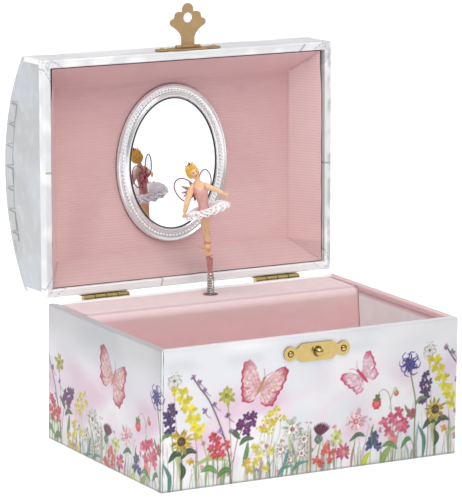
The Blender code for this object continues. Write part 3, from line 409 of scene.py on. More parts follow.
def darken(tree, base, value, low):
    """Multiplies a colour by a grey between low and 1, taken from a 0-1 value."""
    return mix_node(tree, 1.0, base, spread(tree, value, low, 1.0), blend_type="MULTIPLY")


def bump(tree, height, distance, strength=1.0):
    inputs = {"Distance": distance * MM, "Strength": strength, "Height": height}
    return add_node(tree, "ShaderNodeBump", inputs, "Normal")


def painted(tree):
    return add_node(tree, "ShaderNodeAttribute", {}, "Color", attribute_name="paint")


def make_material(name, first=None, second=None, rough=(0.4, 0.6), metal=0.0, grain=900, detail=4.0,
                  stretch=None, relief=0.03, shade=1.0, coat=0.0, sheen=0.0):
    """A material of two tones, or of the mesh's own paint, with matching roughness and relief."""
    material, tree, shader = node_material(name)
    pattern = noise(tree, grain, detail, stretch)
    base = mix_node(tree, pattern, opaque(first), opaque(second)) if first else painted(tree)
    if shade < 1.0:
        base = darken(tree, base, pattern, shade)
    feed(tree, shader, {"Base Color": base, "Roughness": spread(tree, pattern, *rough), "Metallic": metal,
                        "Coat Weight": coat, "Sheen Weight": sheen})
    if relief:
        feed(tree, shader, {"Normal": bump(tree, pattern, relief)})
    return material


def woven(name, threads=2200, relief=0.05):
    """Pink cloth: the mesh's paint under a fine crossed weave."""
    material, tree, shader = node_material(name)
    across, along, upright = (wave(tree, threads, axis, 0.6) for axis in "XZY")
    total = math_node(tree, "ADD", math_node(tree, "ADD", across, along), upright)
    weave = math_node(tree, "MULTIPLY", total, 1 / 3)
    base = darken(tree, painted(tree), weave, 0.90)
    base = darken(tree, base, noise(tree, 160, 3.0), 0.94)
    feed(tree, shader, {"Base Color": base, "Roughness": 0.9, "Sheen Weight": 0.25, "Sheen Roughness": 0.4,
                        "Normal": bump(tree, weave, relief, 0.7)})
    return material


def clear_film(name, tint):
    """Thin clear film: mostly see-through, with a tint and a gloss."""
    material, tree, shader = node_material(name)
    feed(tree, shader, {"Base Color": opaque(tint), "Roughness": spread(tree, noise(tree, 700), 0.05, 0.2),
                        "Alpha": 0.07})
    return material


PAPER = make_material("printed_silver_paper", rough=(0.30, 0.48), metal=0.12, grain=420, detail=6.0,
                      relief=0.05, shade=0.965, coat=0.12)
FOIL = make_material("silver_paper", "DFE0E4", "F4F4F6", rough=(0.22, 0.42), metal=0.42, grain=230,
                     detail=6.0, relief=0.10, coat=0.15)
END_FOIL = make_material("silver_paper_folded", rough=(0.34, 0.5), metal=0.30, grain=150, detail=6.0,
                         relief=0.10, shade=0.93)
CLOTH = woven("pink_cloth")
BRASS = make_material("stamped_brass", "AE955C", "CDB67C", rough=(0.14, 0.30), metal=1.0, grain=500,
                      detail=5.0, relief=0.015)
BRASS_BACK = make_material("dull_brass", "A78B64", "C8A87C", rough=(0.42, 0.6), metal=0.75, grain=240,
                           detail=5.0, relief=0.02)
GEAR_BRASS = make_material("turned_brass", "C39A4A", "E0BE70", rough=(0.2, 0.4), metal=1.0, grain=1500,
                           stretch=(1, 1, 6), relief=0.01)
COIL = make_material("spring_steel", rough=(0.2, 0.4), metal=0.75, grain=1400, relief=0.01, shade=0.9)
STEEL = make_material("bright_steel", "A8A5A0", "D2D0CC", rough=(0.15, 0.35), metal=1.0, grain=1400,
                      stretch=(6, 6, 1), relief=0.01)
CAST = make_material("die_casting", "7E7C76", "A6A39B", rough=(0.4, 0.6), metal=0.9, grain=1200,
                     relief=0.03)
CHROME = make_material("silvered_ring", "DDDFE2", "FAFAFB", rough=(0.12, 0.26), metal=0.6, grain=700,
                       relief=0.01, coat=0.4)
GLASS = make_material("mirror_silvering", "E6EAF1", "EFF2F8", rough=(0.008, 0.02), metal=1.0, grain=60,
                      relief=0.0)
PEARL = make_material("pearl_silver", "F0F0F2", "FFFFFF", rough=(0.22, 0.38), metal=0.15, grain=800,
                      relief=0.01, coat=0.3)
# dark brass for the painted shadow rings round the latch's nails and knob
DARK_BRASS = make_material("painted_shade_brass", "3A2C18", "6A5430", rough=(0.3, 0.5), metal=0.7, grain=900,
                           relief=0.01)
DARK_LINE = make_material("shadow_line", "2A2624", "4A4440", rough=(0.5, 0.7), grain=900, relief=0.0)
SKIN = make_material("painted_figure", rough=(0.38, 0.55), grain=1600, relief=0.015, shade=0.95,
                     coat=0.08)
HAIR = make_material("painted_hair", rough=(0.3, 0.5), grain=1800, relief=0.02, shade=0.90, coat=0.1)
TIARA = make_material("tiara_metal", "3E3A40", "9A96A0", rough=(0.2, 0.4), metal=0.9, grain=2500,
                      relief=0.02)
NET = make_material("gathered_net", rough=(0.7, 0.9), grain=2600, relief=0.06, shade=0.93, sheen=0.3)
WING_WIRE = make_material("wing_wire", "6E2A40", "A0566C", rough=(0.25, 0.4), metal=0.3, grain=1800,
                          relief=0.01)
FILM = clear_film("wing_film", "F2F4FA")
SEQUIN = make_material("red_sequin", "9A1020", "C41C30", rough=(0.18, 0.35), metal=0.1, grain=900,
                       relief=0.03, coat=0.5)


# ---------------------------------------------------------------- the printed paper

DOTS = 6  # the artwork's dots per mm
PERIMETER = 4 * (HALF + EDGE)
REPEAT = PERIMETER / 4  # the bouquet comes four times round the case
SIDE_DROP = 2.5  # how much lower the paper sits on the left side
LONG, SHORT = 2 * HALF, 2 * EDGE  # the case's length and depth

# a wing's reach from its root, by its place between the trailing edge (-1) and the leading edge (1)
FORE_WING = ((-1, 0), (-0.93, 0.48), (-0.6, 0.72), (-0.1, 0.80), (0.45, 1.0), (0.72, 0.99),
             (0.93, 0.62), (1, 0))
HIND_WING = ((-1, 0), (-0.9, 0.72), (-0.55, 0.92), (-0.3, 1.04), (0.1, 0.95), (0.5, 0.97),
             (0.88, 0.7), (1, 0))
PETAL = np.array((0.35, 0.65, 0.9, 1.1, 1.15, 1.0, 0.45))  # a petal's width from its root to its tip
BODY = np.array((0.25, 0.55, 0.7, 0.75, 0.75, 0.8, 0.85, 0.8, 0.75, 0.5))  # a butterfly's, by its length


def direction(angle):
    return np.array((math.cos(angle), math.sin(angle)))


class Print:
    """The paper's artwork, on a strip that runs round the case: across and up in mm."""

    def __init__(self):
        self.rows = int(CASE_TOP * DOTS) + 2
        self.cols = int(PERIMETER * DOTS)
        self.shift = np.zeros(2)
        self.ink = np.ones((self.rows, self.cols, 3))
        self.rng = np.random.default_rng(221)

    def lay(self, low, high, paint):
        """Blends paint(u, z), a cover and a tone, over the dots between two corners."""
        low, high = np.add(low, self.shift), np.add(high, self.shift)
        u = np.arange(math.floor(low[0] * DOTS), math.ceil(high[0] * DOTS) + 1)
        z = np.arange(max(0, math.floor(low[1] * DOTS)), min(self.rows, math.ceil(high[1] * DOTS) + 1))
        if len(z) == 0:
            return
        where = np.ix_(z, u % self.cols)
        cover, tone = paint(*np.meshgrid(u / DOTS - self.shift[0], z / DOTS - self.shift[1]))
        self.ink[where] = mixed(self.ink[where], tone, cover)

    def ribbon(self, path, half, tone, share):
        """A band along a path, with its half width at every point."""
        margin = half.max() + 0.5

        def paint(u, z):
            cover = np.zeros_like(u)
            for a, b, half_a, half_b in zip(path[:-1], path[1:], half[:-1], half[1:]):
                step = b - a
                t = np.clip(((u - a[0]) * step[0] + (z - a[1]) * step[1]) / (step @ step + 1e-9), 0, 1)
                away = np.hypot(u - a[0] - t * step[0], z - a[1] - t * step[1])
                inside = (half_a + (half_b - half_a) * t - away) * DOTS + 0.5
                cover = np.maximum(cover, np.clip(inside, 0, 1))
            return cover * share, colour(tone)

        self.lay(path.min(0) - margin, path.max(0) + margin, paint)

    def stem(self, points, width, tone, share=0.85, taper=0.5):
        path = curve(points, 3 * len(points) + 3)
        self.ribbon(path, width / 2 * np.linspace(1, taper, len(path)), tone, share)

    def leaf(self, points, width, tone, vein=None, share=0.9):
        path = curve(points, 14)
        self.ribbon(path, width / 2 * np.sin(np.linspace(0.15, 3.05, 14)) ** 0.8, tone, share)
        if vein:
            self.ribbon(path, np.full(14, 0.14), vein, 0.6)

    def blob(self, place, size, lobes, edge, middle, depth, squash=1.0, turn=0.3, ragged=0.05, share=0.95):
        """A berry or a dot. depth is how far the gaps between its lobes reach in."""

        def paint(u, z):
            across, up = u - place[0], (z - place[1]) / squash
            radius = np.hypot(across, up) / size
            angle = np.arctan2(up, across) - turn
            lobe = np.abs(np.cos(lobes * angle / 2)) ** 0.6
            wobble = ragged * (np.sin(7 * angle + place[0]) + np.sin(11 * angle + place[1]))
            cover = np.clip((1 - depth * (1 - lobe) + wobble - radius) * size * DOTS + 0.5, 0, 1)
            fold = (1 - lobe) * 0.30 + 0.10 * np.cos(3 * lobes * angle) * ramp(radius, 0.2, 0.7)
            tone = mixed(middle, edge, np.clip(radius, 0, 1) ** 1.4)
            return cover * share, tone * (1 - fold[..., None])

        reach = size * 1.25 + 0.5
        self.lay(np.subtract(place, reach), np.add(place, reach), paint)

    def dots(self, places, size, tone, share=0.9):
        for place in places:
            self.blob(place, size, 1, tone, tone, depth=0, ragged=0, share=share)

    def flower(self, place, size, petals, edge, middle, heart=None, share=0.95, heart_size=0.34):
        """A loose flower, every petal of its own length and tone; a full one has two rings of them."""
        rng, full = self.rng, petals >= 7
        place = np.array(place, float) + rng.normal(0, 0.25, 2)
        start = rng.uniform(0, TURN)
        for reach, pale, light in ((1.0, 0.0, 1.0), (0.62, 0.45, 1.05))[: 1 + full]:
            for index in range(petals + 1):
                angle = start + (index + reach) * TURN / petals + rng.normal(0, 0.2)
                tip = place + size * reach * rng.uniform(0.72, 1.1) * direction(angle)
                paleness = min(1.0, pale + rng.uniform(0, 0.6))
                tone = mixed(edge, middle, paleness) * rng.uniform(0.80, 1.0) * light
                width = size * (0.35 + 0.65 * reach) * rng.uniform(1.25, 1.9) / petals
                path = curve([place, (place + tip) / 2 + rng.normal(0, 0.15, 2), tip], 7)
                self.ribbon(path, width * PETAL, tone.clip(0, 1), share)
        if heart:
            self.dots([place], heart_size * size * (0.85 if full else 0.5), heart)
            if full:
                specks = place + rng.normal(0, 0.30 * heart_size * size, (9, 2))
                self.dots(specks, 0.28, mixed(heart, middle, 0.55))

    def cluster(self, places, *look, **more):
        """The same flower in several places."""
        for place in places:
            self.flower(place, *look, **more)

    def wing(self, root, tip, opening, side, fore, blaze, edge, inner, mark):
        """A butterfly's wing: a scalloped fan from its root, with a dark edge, veins and spots. side says
        whether its leading edge lies anticlockwise (1) or clockwise (-1) of its tip."""
        places, reaches = np.array(FORE_WING if fore else HIND_WING).T
        tip_place = places[np.argmax(reaches)]
        root, tip = np.array(root, float), np.array(tip, float)
        length = np.linalg.norm(tip - root)
        aim = math.atan2(tip[1] - root[1], tip[0] - root[0])

        def paint(u, z):
            radius = np.hypot(u - root[0], z - root[1])
            angle = (np.arctan2(z - root[1], u - root[0]) - aim + math.pi) % TURN - math.pi
            share = np.clip(side * angle / opening + tip_place, -1, 1)
            reach = length * np.interp(share, places, reaches) * (1 + 0.025 * np.cos(21 * angle))
            inside = (reach - radius) * (radius > 0.2)
            spots = ramp(np.cos(26 * angle + math.pi), 0.4, 0.9) * bell(inside - 2.6, 0.5)
            tone = coats(inner, (mark, 0.22 * ramp(-radius / length, -0.5, -0.1)),
                         (mark, 0.34 * ramp(np.cos(26 * angle), 0.84, 1.0)),
                         ("FFF2F0", 0.8 * spots),
                         (edge, 0.80 * blaze * ramp(radius / length, 0.62, 1.02)))
            tone = tone * (0.92 + 0.10 * ripple(np.stack([u, z], -1), 2.2, 222))[..., None]
            tone = mixed(tone, edge, ramp(1.15 - inside, 0, 0.55) * (0.45 + 0.55 * blaze))
            return np.clip(inside * DOTS + 0.5, 0, 1), tone.clip(0, 1)

        reach = length * 1.1
        self.lay(root - reach, root + reach, paint)

    def butterfly(self, centre, tips, openings, edge, inner, mark, body, aim, hind_blaze):
        """Hind wings, fore wings, a body and feelers. aim is the body's direction in degrees."""
        centre = np.array(centre, float)
        way = direction(math.radians(aim))
        for index, (tip, opening) in enumerate(zip(tips, openings)):
            fore = index > 1
            root = centre + way * (0.6 if fore else -0.5)
            side = 1 if index % 2 else -1
            self.wing(root, tip, opening, side, fore, 1.0 if fore else hind_blaze, edge, inner, mark)
        self.ribbon(centre + way * np.linspace(-4.2, 3.4, 10)[:, None], BODY, body, 1.0)
        self.dots([centre + way * 3.9], 0.8, body)
        head, across = centre + way * 4.2, np.array((-way[1], way[0]))
        for sign in (-1, 1):
            feeler = [head, head + way * 2.2 + across * sign * 1.2, head + way * 3.8 + across * sign * 2.6]
            self.stem(feeler, 0.34, mark, taper=0.8)

    def strip(self, u, z):
        """The artwork's colours at places on the strip."""
        u = (np.asarray(u, float) % PERIMETER) * DOTS
        z = np.clip(np.asarray(z, float) * DOTS, 0, self.rows - 1.001)
        left, low = u.astype(int), z.astype(int)
        share_u, share_z = u - left, z - low
        right = (left + 1) % self.cols
        left = left % self.cols
        below = mixed(self.ink[low, left], self.ink[low, right], share_u)
        above = mixed(self.ink[low + 1, left], self.ink[low + 1, right], share_u)
        return mixed(below, above, share_z)


def paper_ground(art):
    """Silver-white paper with lilac and green watercolour washes."""
    z, u = np.mgrid[0 : art.rows, 0 : art.cols] / DOTS
    t = u / PERIMETER * TURN
    ring = np.stack([np.cos(t) * PERIMETER / TURN, np.sin(t) * PERIMETER / TURN, z * 1.2], -1)
    band, low = ramp(z, 6, 20) * ramp(54 - z, 0, 18), ramp(24 - z, 0, 20)
    art.ink[:] = coats(
        "E4E6EB", ("F3F2F5", ramp(ripple(ring, 45, 201, 9), -0.6, 0.6)),
        ("E3BFD6", 0.78 * band * ramp(ripple(ring, 26, 202, 9), -0.5, 0.9)),
        ("F0DDE8", 0.5 * band * ramp(ripple(ring, 12, 203, 9), -0.2, 0.9)),
        ("CFD9CF", 0.55 * low * ramp(ripple(ring, 14, 204, 9), -0.3, 0.8)),
        ("C9B4CC", 0.35 * low * ramp(ripple(ring, 9, 205, 9), 0.1, 0.9)))


def meadow(art, rng):
    """Thin stems, blades and tiny flowers rising from the paper's foot."""
    stems, blossoms = 95, 46
    tones = ("6F8A4A", "8C9A5A", "4F6B46", "93A7A0", "A78A94", "7B5A6A", "B0B970", "5E7F86", "9A5C68")
    for start in rng.uniform(0, REPEAT, stems):
        height = rng.uniform(5, 30) * (0.5 + 0.5 * rng.uniform())
        lean = rng.normal(0, 0.22) * height
        points = [(start, -1), (start + lean * 0.3, height * 0.5), (start + lean, height)]
        tone = tones[rng.integers(len(tones))]
        if rng.uniform() < 0.4:
            art.leaf(points, rng.uniform(0.8, 1.9), tone, share=rng.uniform(0.45, 0.85))
        else:
            art.stem(points, rng.uniform(0.35, 0.7), tone, share=rng.uniform(0.4, 0.8))
    blooms = ("C3568A", "E07A90", "8C66A8", "D8B840", "E8E4C0", "B04860", "EFA0A8", "6A5AA0")
    for _ in range(blossoms):
        place = (rng.uniform(0, REPEAT), rng.uniform(3, 27) ** 0.97)
        tone = blooms[rng.integers(len(blooms))]
        size, _ = rng.uniform(0.6, 1.3), rng.uniform(0, 6)  # the second draw keeps the sequence as it is
        art.flower(place, size, 5, tone, "F2DCE2", share=0.75)


def left_group(art, rng):
    art.cluster(((5, 40), (3.2, 36), (6.4, 37), (3, 33), (5.6, 33.4), (5, 30), (3.6, 28)),
                2.1, 5, "3E1F5E", "5C3A82", "B79AD0", heart_size=0.22)
    art.stem([(5, 42), (5.2, 30), (6.5, 12), (6.0, -1)], 0.6, "5B5A3C")
    art.stem([(6.6, 48.5), (7.0, 36), (8.5, 22), (8, -1)], 0.45, "9A8070", share=0.7)
    clock = np.array((6.6, 52))  # the seed head's middle
    for angle in np.linspace(0, TURN, 26, endpoint=False):
        reach = rng.uniform(2.2, 4.2)
        tip = clock + reach * direction(angle)
        art.stem([clock, (tip + clock) / 2, tip], 0.24, "A8A290", share=0.4, taper=1)
        art.dots([tip], 0.42, "8E8A78" if reach < 3.4 else "C8C4AC", 0.7)
    art.dots([clock], 0.7, "7A6A50")
    art.stem([(8.2, 48.8), (16.5, 33), (20.5, 24), (24, 12.7), (25, -1)], 0.6, "8FA040")
    for i, (u, z) in enumerate(curve([(8.5, 48), (12.5, 41), (16.5, 33), (20, 25.5)], 11)):
        side = 1.3 if i % 2 else -1.3
        art.flower((u + side, z + 0.6 * side), 2.0 + 0.03 * i, 4, "E8D81E", "F6EC60", "E07020",
                   heart_size=0.25)
    art.stem([(16.3, 52.4), (20, 47), (24.7, 41), (30, 30), (33.5, 20), (35.8, 11), (36.5, -1)], 0.75,
             "4A3C48", taper=1)
    for u, z, tone in ((16.3, 52.6, "8C6A86"), (19.6, 50.2, "8C6A86"), (22.4, 46.4, "9A6FA0"),
                       (22.4, 36, "9A6FA0"), (27.6, 38.8, "7C4F8A"), (34.7, 32.7, "7E3F9A"),
                       (30.2, 26, "A88CC8"), (36.6, 24.8, "8E5AA8")):
        art.stem([(u, z), (u + 1.6, z - 2.4), (u + 3.4, z - 3.6)], 0.45, "4A3C48")
        art.flower((u, z), 1.25, 4, tone, "CDA8D4", "4A3048")
    art.flower((34.2, 42.2), 4.6, 9, "A9A63A", "D8D670", "7C7A20", heart_size=0.30)
    art.stem([(34.4, 38.4), (35.5, 30), (36.6, 12), (36, -1)], 0.5, "7F8A44")


def middle_group(art):
    art.stem([(44.5, 30), (41.5, 24), (39.8, 21), (37.5, 9.7), (37.2, -1)], 0.6, "9A4A50")
    art.cluster(((44.8, 30.9), (41.4, 28.5), (40.3, 26.4), (47.5, 27.7), (44.8, 26.2), (44.6, 23.8),
                 (48.4, 31.2)), 2.2, 5, "5A1A5A", "8A3A86", "D8A0D0", heart_size=0.2)
    art.leaf([(41, 21), (38.5, 24), (35.4, 25.6)], 2.6, "2F5230", "7E9A60")
    art.leaf([(41, 18), (44, 20.5), (48.6, 20.2)], 2.6, "35583A", "7E9A60")
    rng, pollen = art.rng, ("E2CB2E", "F2E468", "C9A820")
    for u, z in ((60.4, 32.7), (57.6, 30.7), (62.6, 28.2), (58.6, 26.4), (54.8, 27.6), (52.6, 24.8),
                 (56.2, 23.4)):
        art.stem([(u, z - 1.8), (u - 0.8, z - 9), (56, 9), (55, -1)], 0.35, "8C9A50", share=0.6)
        for _ in range(20):
            spot = (u + rng.normal(0, 1.25), z + rng.normal(0, 0.9))
            art.dots([spot], rng.uniform(0.35, 0.7), pollen[rng.integers(3)], 0.85)
    art.leaf([(43, 9), (44.5, 13), (45.4, 19)], 2.6, "4D7A3A", "A9C070")
    art.leaf([(16.3, 10.4), (25, 13.4), (34.7, 11.4)], 2.2, "A8C070", "7E9A50")
    for u, z, size in ((69.3, 22.2, 5.2), (75.5, 16.7, 3.9), (63.2, 13.1, 3.6), (74.3, 10.2, 3.5),
                       (68, 8, 3.0)):
        art.stem([(u, z), (u + 0.5, z - 6), (u - 0.6, -1)], 0.45, "7A9060", share=0.7)
        art.flower((u, z), 1.12 * size, 19, "6E7A6A", "C9D2C2", share=0.55)
        art.flower((u, z), size, 13, "CFDCC4", "FBFBF4", "8E2A50", heart_size=0.26)
        ring = [np.array((u, z)) + 0.55 * size * direction(t) for t in np.arange(0, TURN, 0.7)]
        art.dots(ring, 0.34, "9C3A5C")
    for u, z, tone in ((49.2, 15.7, "EAD84A"), (58, 13.2, "F0E070"), (44.8, 9.2, "D8A830"),
                       (49.8, 9.1, "E6CE40"), (54.8, 4.7, "EAD850"), (51.6, 12.4, "F2E684"),
                       (46.8, 5.0, "D8B038")):
        art.flower((u, z), 2.3, 6, tone, "FAF2A8", "C08820", heart_size=0.25)
    for points in (((61.5, 0), (64, 4), (69.3, 4.7)), ((69, 1), (72, 5), (78.3, 6)),
                   ((63, -1), (66, 9), (67.5, 13))):
        art.leaf(points, 1.7, "3E7A78", "9CC4BC")


def cone_flower(art):
    art.stem([(10.2, 21), (10.6, 10), (10, -1)], 0.7, "4A5A30")
    art.leaf([(10, 17), (7, 17.6), (3.6, 14)], 3.0, "1F3A26", "6A8A50")
    art.leaf([(10.5, 15), (14, 18.4), (18.4, 17)], 2.8, "1F3A26", "6A8A50")
    art.leaf([(10, 13), (11.6, 9), (10.2, 5)], 2.6, "1F3A26", "6A8A50")
    art.flower((10.2, 23), 6.2, 21, "A88A2A", "E8CC4C", "2E1A12", heart_size=0.42)
    art.dots([(9.2, 23.4), (10.4, 24), (11.2, 22.8), (10.0, 22.3)], 0.36, "A86A28")
    art.flower((15, 13), 1.8, 4, "D0A030", "ECD080")
    art.cluster(((26.9, 23.7), (30.2, 17.7), (25.8, 18.2), (33.6, 19.1), (29.4, 21.4), (28, 14.6),
                 (32.2, 15)), 2.3, 5, "C8303F", "EE8088", "F6D070", heart_size=0.22)
    art.stem([(29, 14), (29.6, 6), (29, -1)], 0.6, "6E7A3C")
    art.leaf([(29.4, 6), (25, 9), (20.6, 7.6)], 3.0, "5E8A3E", "B0CC78")
    art.leaf([(29.4, 4), (33, 7), (37, 6)], 3.0, "4A7636", "A4C070")


def thistle(art):
    """A dark tuft on a green cup."""
    art.stem([(84, 20), (83.4, 15), (80, 10), (78.3, 7.8), (77, -1)], 0.6, "A8B23C")
    for index, t in enumerate(np.linspace(-0.62, 1.02, 19)):
        tip = (84.2 + 6.4 * math.sin(t), 17.4 + (5.6 + 0.8 * (index % 2)) * math.cos(t - 0.1))
        art.leaf([(83.8, 17.2), ((83.8 + tip[0]) / 2, (17.2 + tip[1]) / 2), tip], 1.1,
                 "4A1230" if index % 3 else "7A2A4C", share=0.95)
    for u, z in ((83.2, 16.6), (84.2, 15.9), (83.4, 14.9), (82.6, 15.6)):
        art.dots([(u, z)], 1.5, "5E7A62", 0.85)
        art.dots([(u + 0.2, z + 0.2)], 0.6, "98AE90", 0.8)


def right_group(art):
    thistle(art)
    art.flower((93.1, 15.6), 4.1, 8, "C8CC60", "F2F2B8", "98A040")
    art.stem([(93, 12), (92, 5), (92.4, -1)], 0.5, "8A9A48")
    pale = np.array((103.8, 21.9))
    art.flower(pale, 6.2, 12, "EFC4CE", "FDF2F2", "E9A8B0", heart_size=0.30)
    rings = [pale + reach * direction(t) for reach in (1.1, 2.4, 3.6) for t in np.arange(0, 6.1, 0.8)]
    art.dots(rings, 0.40, "E05060")
    art.stem([(103.6, 16), (103, 8), (103.8, -1)], 0.6, "7E9450")
    art.flower((97, 7.7), 4.4, 12, "B83468", "E27CA0", "F0C040", heart_size=0.26)
    art.cluster(((86.2, 9.2), (82.3, 5.4), (89.6, 5), (85.1, 3.9), (88, 11.4), (90.4, 8.4)),
                2.1, 5, "E05548", "F6A890", "C83830", heart_size=0.2)
    art.cluster(((114, 13.8), (111.2, 9.1), (116.3, 8.1), (112.4, 12), (114.2, 10.4)),
                2.2, 5, "3A4070", "6A70AC", "E8E0A0", heart_size=0.2)
    art.leaf([(113, 9), (112.4, 15), (113.5, 19.7)], 1.2, "5C7C4A")
    art.leaf([(100.4, 12.8), (105, 15.6), (108.9, 14.3)], 2.2, "34563C", "88A070")
    art.leaf([(108.6, -2), (108.6, 2), (111.5, 6.4)], 3.2, "BCCB20", "E4EC80")
    art.leaf([(118.6, -2), (119.3, 3), (123.4, 8.2)], 3.8, "7FA04A", "C4DC90")


def berries(art):
    art.stem([(124.4, -1), (124.6, 12), (123.4, 24), (121.8, 33), (118.4, 35.8), (115.4, 33.4)], 0.55,
             "6E8446")
    art.stem([(122.6, 30), (125, 35.8), (126.4, 34.4)], 0.4, "6E8446")
    art.blob((115, 29.4), 2.5, 3, "D8283C", "F07078", depth=0.10, squash=1.25, turn=1.57)
    art.dots([(114.2, 30), (115.6, 29.6), (114.8, 28.4), (115.4, 31)], 0.24, "FBE8A0")
    art.flower((115.1, 32.2), 1.9, 5, "4E7A34", "7CA850")
    art.blob((125.9, 33.1), 1.4, 3, "D23A48", "F08088", depth=0.1)
    art.flower((126, 34.5), 1.1, 5, "C8B848", "E8DC80")


def berries_and_bells(art):
    berries(art)
    for u, z, tone in ((123.7, 21.6, "D02858"), (134.5, 21.9, "D83064"), (119.2, 20.1, "E04A70"),
                       (130.5, 19.3, "C82450"), (131, 15.3, "DC4A74"), (122, 14.9, "D83A5E"),
                       (127, 17.4, "E86A88"), (124.3, 11.1, "F08A78"), (127.4, 23.6, "DE4470")):
        art.flower((u, z), 2.8, 5, tone, "F6A8BC", "F8E090", heart_size=0.2)
    art.leaf([(127, 6), (122.6, 9.2), (118.2, 8)], 2.6, "55803E", "A8C878")
    art.leaf([(129, 6), (132, 10), (134.6, 9.6)], 2.4, "46703A", "9ABC70")
    art.stem([(133.3, 43), (135, 36), (136.7, 27.7), (136.4, 16), (136.2, -1)], 0.8, "6E7E46", taper=1)
    art.leaf([(136.4, 26), (139.6, 29.4), (143, 29)], 1.9, "5E7E48", "A8C080")
    art.leaf([(136.2, 20), (132.6, 23.4), (130.6, 27)], 1.6, "5E7E48")
    star = np.array((132.8, 46.4))
    for i, t in enumerate(np.linspace(0, TURN, 22, endpoint=False)):
        length = 4.6 + 1.5 * math.sin(2.3 * i)
        curl = 0.8 if i % 3 else -0.8
        path = [star + length * share * direction(t + bend * curl)
                for share, bend in ((0.1, 0), (0.6, 0.1), (0.95, 0.3), (1.05, 0.8))]
        art.stem(path, 0.95, "2E2766" if i % 3 else "5347A0", share=0.95, taper=0.4)
    art.flower(star, 3.3, 11, "2E2668", "5E58A8", "2A2256", heart_size=0.3)
    art.leaf([(138.5, 16), (141.8, 9), (141.3, -1)], 2.0, "2F6B5A", "8CBCA0")


def bouquet(art, offset, drop):
    """One repeat of the meadow. The groups keep this order, because each draws on art.rng in turn."""
    art.shift = np.array((offset, -drop))
    rng = np.random.default_rng(211)
    meadow(art, rng)
    right_group(art)
    middle_group(art)
    left_group(art, rng)
    cone_flower(art)
    berries_and_bells(art)


def butterflies(art):
    """Two on the front and back, one on each end."""
    crimson = dict(edge="B41E40", inner="F4CBCC", mark="B04A58", body="B88A5A", aim=62, hind_blaze=0.8)
    pink = dict(edge="D02A68", inner="F7D8E2", mark="CC5A80", body="C8365C", aim=132, hind_blaze=0.15)
    for start in (0, LONG + SHORT):
        art.shift = np.array((start, 0.0))
        art.butterfly((52, 44.7), ((42.5, 38.8), (58, 35), (43, 56.6), (66.6, 50.3)),
                      (0.86, 0.92, 0.78, 0.70), **crimson)
        art.butterfly((107, 43.4), ((104.0, 35.2), (115.4, 43.6), (95.0, 43.2), (111, 55.0)),
                      (0.74, 0.74, 0.70, 0.66), **pink)
    for start in (-SHORT, LONG):
        art.shift = np.array((start, 0.0))
        art.butterfly((68, 44), ((55, 42), (74, 31.5), (55, 56.5), (81, 49)), (0.80, 0.84, 0.72, 0.84),
                      **crimson)


def printed_paper():
    art = Print()
    paper_ground(art)
    for index, drop in ((2, 0), (1, 0), (0, 0), (-1, SIDE_DROP)):
        bouquet(art, index * REPEAT, drop)
    butterflies(art)
    art.shift = np.zeros(2)
    return art


# ---------------------------------------------------------------- the case

CORNER = 0.8  # radius of the papered corners
MITRE = CORNER * (1 - math.sqrt(0.5))
RIM_ROUND, INNER_ROUND = 1.1, 0.8  # radii of the rim's outer and inner edges
PRINT_STEP = 0.37  # spacing of the painted points on the faces seen most
PLAIN_STEP = 0.5
KEY_HOLE = 2.7  # radius of the paper's hole round the winding arbor
SIDES = {
    # name: (corner seen at its left, direction along, direction inward, length, strip start)
    "front": ((-HALF, -EDGE), (1, 0), (0, 1), LONG, 0.0),
    "right": ((HALF, -EDGE), (0, 1), (-1, 0), SHORT, LONG),
    "back": ((HALF, EDGE), (-1, 0), (0, -1), LONG, LONG + SHORT),
    "left": ((-HALF, EDGE), (0, -1), (1, 0), SHORT, -SHORT),
}


def corner_inset(distance):
    """How far a rounded corner's face falls back at a distance from the corner."""
    t = np.clip(distance, MITRE, CORNER)
    return CORNER - np.sqrt(CORNER**2 - (CORNER - t) ** 2)


def wall_profile(step):
    """(depth from the outer face, height, share of the outer face) from the bottom edge, over the
    rounded rim and down the inner face."""
    foot = [(0.5, 0.0, 0.0), (0.15, 0.12, 0.3), (0.0, 0.45, 1.0)]
    face = [(0.0, z, 1.0) for z in np.arange(0.9, CASE_TOP - RIM_ROUND, step)]
    over = [(d, z, 0.5) for d, z in arc_points((RIM_ROUND, CASE_TOP - RIM_ROUND), RIM_ROUND, 180, 90, 7)]
    inner = (WALL - INNER_ROUND, CASE_TOP - INNER_ROUND)
    back = [(d, z, 0.0) for d, z in arc_points(inner, INNER_ROUND, 90, 0, 5)]
    return np.array(foot + face + over + [(2.0, CASE_TOP, 0.2)] + back + [(WALL, 30.0, 0), (WALL, 0.0, 0)])


